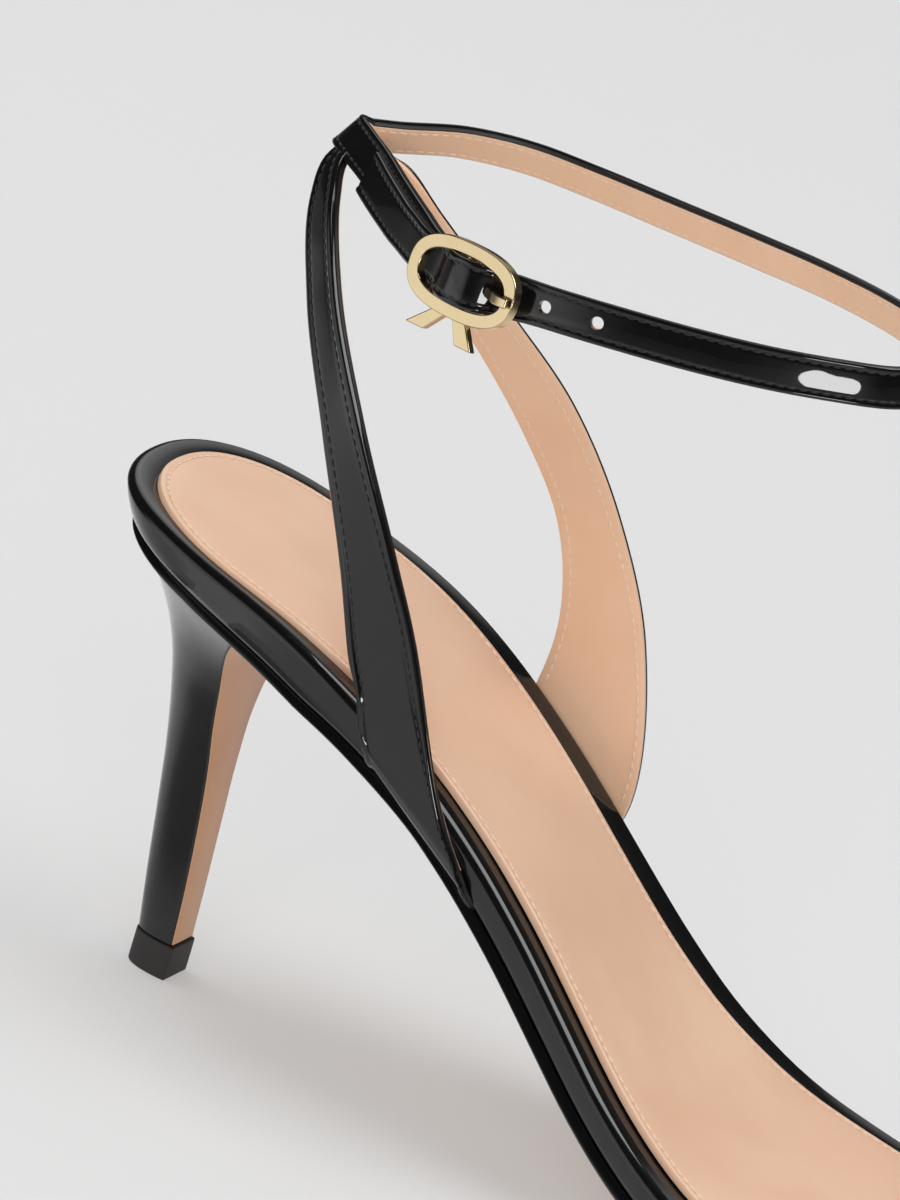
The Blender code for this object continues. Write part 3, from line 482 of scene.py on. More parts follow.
def heel_size(level):
    """Back x, breast x and half width at a level."""
    return smooth(column(HEEL_SECTION, 0), [row[1:] for row in HEEL_SECTION], level)


def heel_outline(back, breast, half):
    """Section with a round back and a flat breast, as a closed loop of x and y."""
    turn = np.radians(np.linspace(-90, 90, HEEL_POINTS))
    side = breast - HEEL_CORNER
    x = side - (side - back) * np.cos(turn) ** HEEL_FULLNESS
    y = half * np.sign(np.sin(turn)) * np.abs(np.sin(turn)) ** HEEL_FULLNESS
    corner = np.radians(CORNER_ANGLES)
    corner_x = side + HEEL_CORNER * np.sin(corner)
    corner_y = half - HEEL_CORNER + HEEL_CORNER * np.cos(corner)
    x = np.concatenate((x, corner_x, [breast, breast], corner_x[::-1], x[:1]))
    y = np.concatenate((y, corner_y, [half - HEEL_CORNER, HEEL_CORNER - half], -corner_y[::-1], y[:1]))
    return x, y


def make_ankle_loop():
    """Closed middle line of the ankle strap from the bar: lengths, points with their lean, whole length."""
    table = np.array(ANKLE_LOOP, float)
    wrapped = np.concatenate((table[-2:], table, table[:3]))
    length = lengths_along(wrapped[:, :3])
    at = np.arange(length[2], length[-3], LOOP_STEP)
    line = smooth(length, wrapped, at)
    run = lengths_along(line[:, :3])
    closing = np.linalg.norm(line[0, :3] - line[-1, :3])
    return run, line, run[-1] + closing


ANKLE_RUN, ANKLE_LINE, ANKLE_GIRTH = make_ankle_loop()


def on_loop(run):
    """Middle point and lean at a length along the closed loop."""
    columns = [np.interp(run, ANKLE_RUN, values, period=ANKLE_GIRTH) for values in ANKLE_LINE.T]
    return np.stack(columns, axis=-1)


def ankle_frame(run):
    """Middle point, direction, width direction and outward normal at a length along the loop."""
    here = on_loop(run)
    along = unit((on_loop(run + TANGENT_STEP) - on_loop(run - TANGENT_STEP))[..., :3])
    inward = unit(np.cross(along, (0.0, 0.0, 1.0)))
    upright = unit(np.cross(inward, along))
    lean = np.radians(here[..., 3:4])
    width = upright * np.cos(lean) + inward * np.sin(lean)
    outward = upright * np.sin(lean) - inward * np.cos(lean)
    return here[..., :3], along, width, outward


def buckle_point(u, v, n):
    """Point in the buckle's flat frame: u towards the front, v up the strap, n away from the ankle."""
    middle, along, width, outward = ankle_frame(np.array(0.0))
    u, v, n = np.broadcast_arrays(u, v, n)
    return middle - along * u[..., None] + width * v[..., None] + outward * n[..., None]


def fade(place):
    """Smooth fall from 1 at place 0 to 0 at place 1."""
    return np.cos(np.clip(place, 0, 1) * math.pi / 2) ** 2


def rise_of(run):
    """How far the strap's middle stands off the loop: fold at the bar, free end and arch over the bar."""
    fold = BAR_RISE * fade(run / FOLD_REACH)
    ahead = ANKLE_GIRTH - run
    layer = LAYER_RISE * fade(ahead / ARCH_REACH)
    arch = ARCH_RISE * fade(np.abs(ahead) / ARCH_REACH)
    return fold + layer + arch


# Finishes.

def colour(code):
    """Linear colour from an sRGB hex code."""
    parts = [int(code[i:i + 2], 16) / 255 for i in (1, 3, 5)]
    linear = [part / 12.92 if part <= 0.04045 else ((part + 0.055) / 1.055) ** 2.4 for part in parts]
    return (*linear, 1.0)


def per_metre(size):
    """Texture scale for features of a size in millimetres."""
    return 1000.0 / size


def add_node(tree, kind, inputs, **settings):
    """Adds a node with its settings, and gives each named input a value or a link."""
    made = tree.nodes.new(kind)
    for name, value in settings.items():
        setattr(made, name, value)
    for name, value in inputs.items():
        if isinstance(value, bpy.types.NodeSocket):
            tree.links.new(value, made.inputs[name])
        else:
            made.inputs[name].default_value = value
    return made


def start_finish(name, **values):
    """New material with its shader's values set: returns it, its node tree, shader and coordinates."""
    made = bpy.data.materials.new(name)
    made.use_nodes = True
    tree = made.node_tree
    shader = tree.nodes["Principled BSDF"]
    for socket, value in values.items():
        shader.inputs[socket.replace("_", " ")].default_value = value
    place = add_node(tree, "ShaderNodeTexCoord", {}).outputs["Object"]
    return made, tree, shader, place


def noise(tree, place, size, detail):
    """Noise with features of a size in millimetres."""
    settings = {"Vector": place, "Scale": per_metre(size), "Detail": detail}
    return add_node(tree, "ShaderNodeTexNoise", settings).outputs["Fac"]


def tint(tree, shader, share, dark, light, ends=(0.0, 1.0)):
    """Base colour which goes from dark to light as a share passes from one end to the other."""
    ramp = add_node(tree, "ShaderNodeValToRGB", {"Fac": share})
    for stop, end, code in zip(ramp.color_ramp.elements, ends, (dark, light)):
        stop.position = end
        stop.color = colour(code)
    tree.links.new(ramp.outputs["Color"], shader.inputs["Base Color"])


def bump(tree, height, strength, distance, **below):
    """Bumped normal, over another normal where one is given."""
    heights = {"Height": height, "Strength": strength, "Distance": distance}
    return add_node(tree, "ShaderNodeBump", {**heights, **below}).outputs["Normal"]


def grained(name, size, detail, dark, light, strength, **values):
    """Finish in which one fine grain gives both the colour and the bumps."""
    made, tree, shader, place = start_finish(name, **values)
    grain = noise(tree, place, size, detail)
    tint(tree, shader, grain, dark, light)
    tree.links.new(bump(tree, grain, strength, 0.0001), shader.inputs["Normal"])
    return made


def patent_leather():
    """Leather under a poured black lacquer: deep black, mirror gloss, reflections that swim a little."""
    made, tree, shader, place = start_finish(
        "patent leather black", Roughness=0.3, Specular_IOR_Level=0.1,
        Coat_Weight=1.0, Coat_Roughness=0.03, Coat_IOR=1.5)
    grain = noise(tree, place, 1.1, 2.0)
    tint(tree, shader, grain, "#070708", "#101011")
    swim = bump(tree, noise(tree, place, 9.0, 1.0), 0.12, 0.0006)
    fine = bump(tree, grain, 0.03, 0.0002, Normal=swim)
    tree.links.new(fine, shader.inputs["Normal"])
    tree.links.new(swim, shader.inputs["Coat Normal"])
    return made


def nappa_leather(name, light, dark, roughness):
    """Fine sheepskin finish: warm nude, low even sheen, small pebbles drawn coarse enough to show."""
    made, tree, shader, place = start_finish(
        name, Roughness=roughness, IOR=1.45, Sheen_Weight=0.08, Sheen_Roughness=0.5)
    tint(tree, shader, noise(tree, place, 26.0, 3.0), dark, light, (0.3, 0.7))
    crease = bump(tree, noise(tree, place, 3.5, 4.0), 0.06, 0.0005)
    cells = add_node(tree, "ShaderNodeTexVoronoi", {"Vector": place, "Scale": per_metre(0.7)})
    pebble = bump(tree, cells.outputs["Distance"], 0.05, 0.0001, Normal=crease)
    tree.links.new(pebble, shader.inputs["Normal"])
    return made


def edge_paint_and_shade():
    """Dull brown black with a fine mottle: edge dye over cut leather on the ankle strap, and painted shade
    of the nude lining's edge on the lateral strap.
    """
    return grained("edge paint and painted shade dark", 0.5, 3.0, "#0E0B0A", "#1E1815", 0.2, Roughness=0.5, IOR=1.45)


def thread(name, light, dark):
    """Twisted polyester sewing thread: soft sheen broken by its twist."""
    return grained(name, 0.3, 1.0, dark, light, 0.3, Roughness=0.5, IOR=1.5, Sheen_Weight=0.15)


def rubber():
    """Moulded heel rubber: dull charcoal with a fine sanded grit."""
    return grained("rubber dark", 0.4, 3.0, "#1D1B1A", "#343130", 0.25, Roughness=0.62, IOR=1.5)


def plated_brass():
    """Cast brass, polished and plated pale gold: bright clear reflections with faint polishing haze."""
    made, tree, shader, place = start_finish("plated brass pale gold", Metallic=1.0)
    haze = noise(tree, place, 1.6, 3.0)
    tint(tree, shader, haze, "#D3BE93", "#DFCCA6")
    polish = add_node(tree, "ShaderNodeMapRange", {"Value": haze, "To Min": 0.14, "To Max": 0.26})
    tree.links.new(polish.outputs["Result"], shader.inputs["Roughness"])
    return made


PATENT = patent_leather()
SOCK_LEATHER = nappa_leather("nappa leather insole", "#E8C2A5", "#DEB496", 0.34)
# Lining: the insole's nude leather drawn lighter, painted light and sheen on the upright lining.
LINING_LEATHER_PAINTED_LIGHT = nappa_leather("nappa leather lining with painted light", "#F1CBAC", "#E8BE9C", 0.42)
# Heel breast: the same nude leather drawn darker, painted shade under the shank.
HEEL_LEATHER_PAINTED_SHADE = nappa_leather("nappa leather heel breast with painted shade", "#D2A37D", "#C89772", 0.38)
SOLE_LEATHER = nappa_leather("sole leather", "#D8B08E", "#CBA17E", 0.45)
# Dark edge finish: edge dye, and painted shade of the lining's edge on the lateral strap.
EDGE_PAINT_AND_SHADE = edge_paint_and_shade()
BLACK_THREAD = thread("polyester thread black", "#1A1A1B", "#0A0A0B")
NUDE_THREAD = thread("polyester thread nude", "#F4DCC6", "#E3C2A6")
GOLD = plated_brass()
RUBBER = rubber()


# Modelling.

def only(piece):
    """Selects one object alone and makes it the active one."""
    bpy.ops.object.select_all(action="DESELECT")
    piece.select_set(True)
    bpy.context.view_layer.objects.active = piece


def primitive(name, add, **settings):
    """New object made from one of the ready shapes."""
    bpy.ops.object.select_all(action="DESELECT")
    add(**settings)
    made = bpy.context.object
    made.name = name
    made.data.name = name
    return made


def place_vertices(piece, points):
    """Moves the vertices to points in millimetres, the object's own place going into its mesh."""
    only(piece)
    bpy.ops.object.transform_apply(location=True, rotation=True, scale=True)
    piece.data.vertices.foreach_set("co", (np.asarray(points, float) * MM).ravel())
    piece.data.update()


def close_skin(piece):
    """Merges what meets, fills what is open and turns all faces outwards."""
    only(piece)
    bpy.ops.object.mode_set(mode="EDIT")
    bpy.ops.mesh.select_all(action="SELECT")
    bpy.ops.mesh.remove_doubles(threshold=MERGE)
    bpy.ops.mesh.fill_holes(sides=0)
    bpy.ops.mesh.select_all(action="SELECT")
    bpy.ops.mesh.normals_make_consistent(inside=False)
    bpy.ops.object.mode_set(mode="OBJECT")


def skin(name, rows, finishes, painted=()):
    """Closed piece from a grid drawn over rows of points. Painted columns take the second finish."""
    rows = np.asarray(rows, float)
    count, across = rows.shape[:2]
    grid = bpy.ops.mesh.primitive_grid_add
    piece = primitive(name, grid, x_subdivisions=across - 1, y_subdivisions=count - 1)
    place_vertices(piece, rows.reshape(-1, 3))
    for finish in finishes:
        piece.data.materials.append(finish)
    for face in piece.data.polygons:
        face.material_index = 1 if face.index % (across - 1) in painted else 0
    close_skin(piece)
    return piece


def bevelled(piece, width, segments):
    """Rounds the piece's sharp edges."""
    only(piece)
    bpy.ops.object.shade_smooth()
    rounding = piece.modifiers.new("rounded edges", "BEVEL")
    rounding.harden_normals = True
    rounding.width = width * MM
    rounding.segments = segments
    rounding.limit_method = "ANGLE"
    rounding.angle_limit = math.radians(ROUND_ANGLE)
    bpy.ops.object.modifier_apply(modifier=rounding.name)


def cut_by(piece, cutter):
    """Cuts one piece with another and removes the cutter."""
    only(piece)
    cut = piece.modifiers.new("cut", "BOOLEAN")
    cut.operation = "DIFFERENCE"
    cut.solver = "EXACT"
    cut.object = cutter
    bpy.ops.object.modifier_apply(modifier=cut.name)
    bpy.data.objects.remove(cutter, do_unlink=True)


def finish_piece(piece, slot, *nodes):
    """Smooth shading, its body and the solids that it stands for; the slot is not used."""
    only(piece)
    bpy.ops.object.shade_smooth_by_angle(angle=math.radians(ROUND_ANGLE))
    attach(piece, "root")
    if nodes:
        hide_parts(*nodes)


# Sole.

def sole_layer(name, rings, finish, slot):
    """Closed layer of the sole through rings, with both its faces drawn in to the middle line."""
    under = [sole_ring(*rings[0], narrow) for narrow in NARROWING[::-1]]
    over = [sole_ring(*rings[-1], narrow) for narrow in NARROWING]
    layer = skin(name, under + [sole_ring(*ring) for ring in rings] + over, [finish])
    finish_piece(layer, slot, name)


def build_sole():
    """Outsole with its painted edge, rand and insole."""
    s, y = OUTLINE_LOOP.T
    seat = -INSOLE_THICK - GAP
    rand_under = seat - RAND_THICK
    sag = straight(SAG, s)
    outsole_top = rand_under - GAP - sag
    foot_level = -STACK - sag
    outer = -straight(OUTSOLE_IN, s)
    tread = [(1, outer - inset * EDGE_WALL, foot_level + height, 0, 1) for inset, height in TREAD_EDGE]
    seated = (1, outer - EDGE_WALL - EDGE_LEAN, outsole_top, 0, 1)
    sole_layer("outsole", [seated, *tread], SOLE_LEATHER, "nude_leather")
    rings = [sole_ring(1, outer - inset, foot_level + height, 0, 1) for inset, height in OUTSOLE_EDGE]
    edge = skin("outsole_edge", rings + rings[:1], [PATENT])
    finish_piece(edge, "black_patent", "outsole")

    lateral = (1 - side_share(y)) / 2
    medial_shoulder, lateral_shoulder = np.array(RAND_SHOULDER)
    wide, tall = medial_shoulder[:, None] + (lateral_shoulder - medial_shoulder)[:, None] * lateral
    drawn = curve(RIM_DRAWN, 1, s) * lateral
    raised = curve(RIM_DRAWN, 2, s) * lateral
    spring = RIM_LEVEL - tall
    foot = [(1, -inset, rand_under + height - sag, 0, taper) for inset, height, taper in RAND_FOOT]
    rings = [*foot, (1, -drawn / 2, (foot[-1][2] + spring) / 2, RIM_BANK / 2, RAND_MIDDLE_TAPER)]
    for turn in np.linspace(0, math.pi / 2, SHOULDER_STEPS):
        outset = wide * (math.cos(turn) - 1) - drawn
        rings.append((1, outset, spring + raised + tall * math.sin(turn), RIM_BANK, 0))
    for share, lateral_fall, medial_fall in RIM_FALL:
        fall = medial_fall * (1 - lateral) + lateral_fall * lateral
        rings.append((share, -share * (wide + drawn), RIM_LEVEL + raised - fall, RIM_BANK, 0))
    rings.append((RIM_FALL[-1][0], 0, seat, 0, 0))
    sole_layer("platform_rand", rings, PATENT, "black_patent")

    rim = [(0, -inset, height, 0, 0) for inset, height in INSOLE_RIM]
    sole_layer("insole", rim, SOCK_LEATHER, "nude_leather")


def build_heel():
    """Heel block, its breast cover and the top piece."""
    levels = 1 - (1 - np.linspace(0, 1, HEEL_LEVELS)) ** HEEL_CROWDING
    block = []
    cover = []
    for level in levels:
        back, breast, half = heel_size(level)
        far = breast + GAP + BREAST_THICK
        near = far - COVER_PROUD - BREAST_THICK / 2
        block.append(heel_point(*heel_outline(back, far - COVER_PROUD, half), level))
        edge = half - COVER_INSET
        shy = COVER_CHAMFER * COVER_CORNER
        x = np.array([near, far - COVER_CHAMFER, far - shy, far])
        y = np.array([edge, edge, edge - shy, edge - COVER_CHAMFER])
        x = np.concatenate((x, x[::-1], x[:1]))
        y = np.concatenate((-y, y[::-1], -y[:1]))
        cover.append(heel_point(x, y, level))
    heel = skin("heel", block, [PATENT])
    finish_piece(heel, "black_patent", "heel")
    breast_cover = skin("heel_breast_cover", cover, [HEEL_LEATHER_PAINTED_SHADE])
    finish_piece(breast_cover, "nude_leather", "heel_breast_cover")

    back, breast, half = heel_size(0.0)
    front = breast + GAP + BREAST_THICK + TOP_PIECE_LIP
    x, y = heel_outline(back - TOP_PIECE_LIP, front, half + TOP_PIECE_LIP)
    x = x - (x.max() + x.min()) / 2
    tread = np.stack((x, y, np.zeros_like(x)), axis=1)
    top_piece = skin("heel_top_piece", [tread, tread + (0, 0, TOP_PIECE_HEIGHT)], [RUBBER])
    bevelled(top_piece, *TOP_PIECE_BEVEL)
    finish_piece(top_piece, "dark_rubber", "heel_top_piece")


# Straps.

def root_points(side, root, shares, table, bow=0.0):
    """Rows of a strap's root on the rand's wall, from the bottom up. The bow lifts the bottom's middle."""
    low, high = np.asarray(root)
    rows = []
    for height, clearance, place in table:
        rear, front = low + (high - low) * place
        s = rear + (front - rear) * shares
        y = rand_edge(s, side) + side * clearance
        rows.append(on_sole(s, y, height + bow * (1 - place) * np.sin(math.pi * shares)))
    return rows


def through_rows(rows, places):
    """Sections of a strap at places from 0 to 1 along it, through rows of points."""
    rows = np.asarray(rows)
    length = lengths_along(rows.mean(axis=1))
    at = places * length[-1]
    flat = smooth(length, rows.reshape(len(rows), -1), at)
    return flat.reshape(len(at), rows.shape[1], 3), at


def outward_of(inner):
    """Outward normals of a strap's inner face."""
    return unit(np.cross(np.gradient(inner, axis=0), np.gradient(inner, axis=1)))


def across_strap(grid, shares):
    """Points at shares of the width, one row of shares for each section."""
    columns = grid.shape[1] - 1
    place = np.clip(shares * columns, 0, columns)
    first = np.minimum(place.astype(int), columns - 1)
    part = (place - first)[..., None]
    row = np.arange(len(grid))[:, None]
    return grid[row, first] * (1 - part) + grid[row, first + 1] * part


def edge_shares(inner, insets):
    """Shares of a strap's width at insets from its first edge, or as negative from the other."""
    width = np.linalg.norm(np.diff(inner, axis=1), axis=2).sum(axis=1)[:, None]
    insets = np.asarray(insets, float)[None, :]
    return np.where(np.signbit(insets), 1 + insets / width, insets / width)


def strap_rows(inner, outward, insets, heights):
    """Points at insets across each section of a strap, lifted to heights over its inner face."""
    shares = edge_shares(inner, insets)
    return across_strap(inner, shares) + unit(across_strap(outward, shares)) * heights[..., None]


def strap_skin(name, inner, outward, thickness, edge, finishes, painted=()):
    """Piece of a strap with one edge's profile on both its sides."""
    edge_in = column(edge, 0)
    edge_up = column(edge, 1)
    insets = [*edge_in, *(-inset for inset in edge_in[::-1]), edge_in[0]]
    levels = np.array([*edge_up, *edge_up[::-1], edge_up[0]])
    rows = strap_rows(inner, outward, insets, levels[None, :] * thickness[:, None])
    last = 2 * len(edge) - 2
    return skin(name, rows, finishes, {*painted, *(last - face for face in painted)})


def skived(ends):
    """A strap's thickness by the distance to its nearer end, where it is pared thin."""
    return np.interp(ends, [0, SKIVE_LENGTH], [STRAP_SKIVED, STRAP_THICK])


def stitch_template():
    """One stitch lying along X: a small thread bead, thinner at its ends."""
    ball = bpy.ops.mesh.primitive_uv_sphere_add
    stitch = primitive("stitch", ball, segments=STITCH_SIDES, ring_count=STITCH_RINGS, radius=0.5)
    bpy.ops.object.mode_set(mode="EDIT")
    bpy.ops.mesh.select_all(action="SELECT")
    bpy.ops.transform.rotate(value=math.pi / 2, orient_axis="Y", center_override=(0, 0, 0))
    bpy.ops.transform.resize(value=STITCH_SIZE)
    bpy.ops.object.mode_set(mode="OBJECT")
    return stitch


def sew(name, rows_of_places, finish, slot):
    """Rows of stitches as copies of one: each row is points, directions along it and outward normals."""
    stitch = stitch_template()
    shape = np.array([vertex.co for vertex in stitch.data.vertices])
    faces = [tuple(face.vertices) for face in stitch.data.polygons]
    bpy.data.objects.remove(stitch, do_unlink=True)
    points = []
    every = []
    for at, along, up in rows_of_places:
        aside = unit(np.cross(up, along))
        for i in range(len(at)):
            start = len(points) * len(shape)
            points.append(at[i] + shape @ np.array([along[i], aside[i], up[i]]))
            every += [tuple(start + corner for corner in face) for face in faces]
    mesh = bpy.data.meshes.new(name)
    mesh.from_pydata((np.concatenate(points) * MM).tolist(), [], every)
    mesh.materials.append(finish)
    sewn = bpy.data.objects.new(name, mesh)
    bpy.context.collection.objects.link(sewn)
    close_skin(sewn)
    finish_piece(sewn, slot)


def at_lengths(values, length, at):
    """Points of a line, or what goes with them, at lengths along it."""
    return np.stack([np.interp(at, length, one) for one in values.T], axis=1)


def stitch_row(line, up, skip_start=0.0, skip_end=0.0):
    """Stitch places at the pitch along a line of points with outward normals."""
    length = lengths_along(line)
    room = length[-1] - skip_start - skip_end
    count = max(int(room / STITCH_PITCH), 1)
    at = skip_start + (np.arange(count) + 0.5) * room / count
    ahead = STITCH_PITCH / 2
    along = unit(at_lengths(line, length, at + ahead) - at_lengths(line, length, at - ahead))
    normal = unit(at_lengths(up, length, at))
    normal = unit(normal - along * (normal * along).sum(axis=1, keepdims=True))
    return at_lengths(line, length, at), along, normal


def strap_seams(inner, outward, heights, inside, skips, from_edge):
    """Stitch rows near both edges of a strap, on its outer face or inside."""
    rows = []
    for inset in (from_edge, -from_edge):
        line = strap_rows(inner, outward, [inset], heights[:, None])[:, 0]
        up = unit(across_strap(outward, edge_shares(inner, [inset]))[:, 0])
        rows.append(stitch_row(line, -up if inside else up, *skips))
    return rows


def dress_strap(name, node, surface, lined, edges, skips, seams, from_edge=SEAM_INSET, holes=()):
    """Patent layer, lining and stitch rows of a strap. Lined picks the sections which have the lining."""
    inner, outward, thickness = surface
    behind = inner[lined], outward[lined], thickness[lined]
    edge, painted, lining_edge = edges
    # Painted faces: edge dye on the ankle strap, painted shade of the lining's edge on the lateral strap.
    body = strap_skin(name, *surface, edge, [PATENT, EDGE_PAINT_AND_SHADE] if painted else [PATENT], painted)
    lining = strap_skin(name + "_lining", *behind, lining_edge, [LINING_LEATHER_PAINTED_LIGHT])
    for middle, away in holes:
        punched(body, middle, away)
        punched(lining, middle, away)
    finish_piece(body, "black_patent", node)
    finish_piece(lining, "nude_leather")
    black, nude = seams
    black.extend(strap_seams(inner, outward, thickness * SEAM_LEVEL, False, skips[0], from_edge))
    nude.extend(strap_seams(*behind[:2], behind[2] * LINING_SEAM_LEVEL, True, skips[1], from_edge))


def build_side_strap(name, side, root, table, seams):
    """Side strap from the sole to the back of the ankle, with its lining."""
    shares = np.linspace(0, 1, SURFACE_COLUMNS)
    if side < 0:
        rows = root_points(side, root, shares, TUCKED_ROWS, TUCK_BOW)
    else:
        rows = root_points(side, root, shares, ROOT_ROWS)
    for row in table:
        rear, front = np.array(row[:3]), np.array(row[3:])
        rows.append(rear + (front - rear) * shares[:, None])
    inner, length = through_rows(rows, np.linspace(0, 1, SIDE_STATIONS) ** ROOT_CROWDING)
    if side < 0:
        inner = inner[:, ::-1]
    thickness = skived(np.minimum(length, length[-1] - length))
    surface = inner, outward_of(inner), thickness
    # The lateral strap's dark inner edge is painted shade of its lining's edge.
    edges = FOLDED if side < 0 else LINED
    dress_strap(name, "ankle_upper", surface, length > LINING_START, edges, SIDE_SKIPS, seams)


def punched(piece, middle, outward):
    """Round hole through a piece."""
    size = {"radius": HOLE_RADIUS * MM, "depth": 2 * PUNCH_REACH * MM}
    punch = primitive("punch", bpy.ops.mesh.primitive_cylinder_add, vertices=HOLE_SIDES, **size)
    rows = np.array([vertex.co for vertex in punch.data.vertices]) / MM
    first = unit(np.cross(outward, (1.0, 0.0, 0.0)))
    second = np.cross(outward, first)
    place_vertices(punch, middle + rows @ np.array([first, second, outward]))
    close_skin(punch)
    cut_by(piece, punch)


def build_ankle_strap(seams):
    """Ankle strap from the fold at the bar, round the ankle, through the ring to its free end."""
    end = ANKLE_GIRTH + TIP_LENGTH
    run = np.linspace(STRAP_START, end, int((end - STRAP_START) / STRAP_STEP))
    middle, along, width, outward = ankle_frame(run)
    middle = middle + outward * rise_of(run)[:, None]
    drop = TIP_DROP * np.clip((run - ANKLE_GIRTH - ARCH_REACH) / DROP_REACH, 0, 1)
    middle = middle - width * drop[:, None]
    from_bar = np.abs(run - ANKLE_GIRTH)
    half = ANKLE_WIDTH / 2 + RING_SPREAD * fade(from_bar / SPREAD_REACH)
    shear = TIP_SHEAR * np.clip((run - end + SHEAR_REACH) / SHEAR_REACH, 0, 1)
    centre = middle - outward * ANKLE_THICK / 2
    low = centre - width * half[:, None] - along * shear[:, None]
    high = centre + width * half[:, None]
    inner = np.stack((low, high), axis=1)
    normals = np.stack((outward, outward), axis=1)
    surface = inner, normals, np.full(len(run), ANKLE_THICK)
    holes = []
    for number in range(FREE_HOLES):
        place = np.array(ANKLE_GIRTH - FIRST_HOLE_U - number * HOLE_PITCH)
        hole, _, _, away = ankle_frame(place)
        holes.append((hole + away * rise_of(place), away))
    edge = [(NARROW * inset, level) for inset, level in FOLDED_EDGE]
    edges = edge, EDGE_PAINT_AND_SHADE_FACES, INNER_LINING
    everywhere = slice(None)
    sewn = NARROW * SEAM_INSET
    dress_strap("ankle_strap", "ankle_upper", surface, everywhere, edges, ANKLE_SKIPS, seams, sewn, holes)


def build_toe_strap(seams):
    """Plain strap over the toes, its ends on the rand's walls."""
    shares = np.linspace(0, 1, SURFACE_COLUMNS)
    half = TOE_STRAP_WIDTH / 2
    root = ((TOE_STRAP_S - half, TOE_STRAP_S + half),) * 2
    lateral = root_points(-1, root, shares, ROOT_ROWS)
    medial = root_points(1, root, shares, ROOT_ROWS)
    left, right = lateral[-1].mean(axis=0), medial[-1].mean(axis=0)
    centre = (left + right) / 2
    reach = (right[1] - left[1]) / 2
    rows = []
    for turn in np.linspace(0, math.pi, TOE_STRAP_ROWS + 2)[1:-1]:
        lift = math.sin(turn) ** (2 / TOE_STRAP_POWER)
        across = math.copysign(abs(math.cos(turn)) ** (2 / TOE_STRAP_POWER), math.cos(turn))
        x = centre[0] - TOE_STRAP_BACK * lift
        y = centre[1] - reach * across
        z = centre[2] + (TOE_STRAP_RISE + STACK - centre[2]) * lift
        lay = TOE_STRAP_LAY * lift
        offset = (shares - 0.5) * TOE_STRAP_WIDTH
        row = np.broadcast_arrays(x + offset * math.cos(lay), y, z - offset * math.sin(lay))
        rows.append(np.stack(row, axis=1))
    every = lateral + rows + medial[::-1]
    turns = np.linspace(0, math.pi, TOE_STRAP_STATIONS)
    inner, length = through_rows(every, (1 - np.cos(turns)) / 2)
    inner = inner[:, ::-1]
    ends = np.minimum(length, length[-1] - length)
    surface = inner, outward_of(inner), skived(ends)
    dress_strap("toe_strap", "toe_strap", surface, ends > LINING_START, LINED, TOE_SKIPS, seams)


def insole_seam():
    """Stitch row round the insole."""
    line = sole_ring(0, -SEW_INSET, SEW_LEVEL, 0, 0)
    s = np.concatenate((OUTLINE_LOOP[:, 0], OUTLINE_LOOP[:1, 0]))
    slope = np.interp(s, SOLE_LINE[0], SOLE_LINE[3])
    up = np.stack((np.sin(slope), np.zeros_like(slope), np.cos(slope)), axis=1)
    return stitch_row(line, up)


# Buckle.

def oval(inset, n):
    """Points round the ring at an inset from its outer edge."""
    turn = np.linspace(0, 2 * math.pi, RING_POINTS, endpoint=False)
    power = 2 / RING_POWER
    u = (RING_LENGTH / 2 - inset) * np.sign(np.cos(turn)) * np.abs(np.cos(turn)) ** power
    v = (RING_HEIGHT / 2 - inset) * np.sign(np.sin(turn)) * np.abs(np.sin(turn)) ** power
    return buckle_point(u, v, n)


def rod(name, half, radius, finish, height=0.0):
    """Round rod on the bar's axis, with its middle at a height up the strap."""
    size = {"radius": radius * MM, "depth": 2 * half * MM}
    made = primitive(name, bpy.ops.mesh.primitive_cylinder_add, vertices=ROD_SIDES, **size)
    u, n, v = np.array([vertex.co for vertex in made.data.vertices]).T / MM
    place_vertices(made, buckle_point(u, v + height, BAR_RISE + n))
    made.data.materials.append(finish)
    close_skin(made)
    return made


def gold_block(name, rings, bevel, node):
    """Block through rectangles in the buckle's frame, with rounded edges."""
    block = skin(name, [np.concatenate((ring, ring[:1])) for ring in rings], [GOLD])
    bevelled(block, *bevel)
    finish_piece(block, "pale_gold", node)


def rectangle_in_buckle(u_range, v, n_range):
    """Four corners at one height in the buckle's frame."""
    u = np.array([u_range[0], u_range[1], u_range[1], u_range[0]])
    n = np.array([n_range[0], n_range[0], n_range[1], n_range[1]])
    return buckle_point(u, v, n)


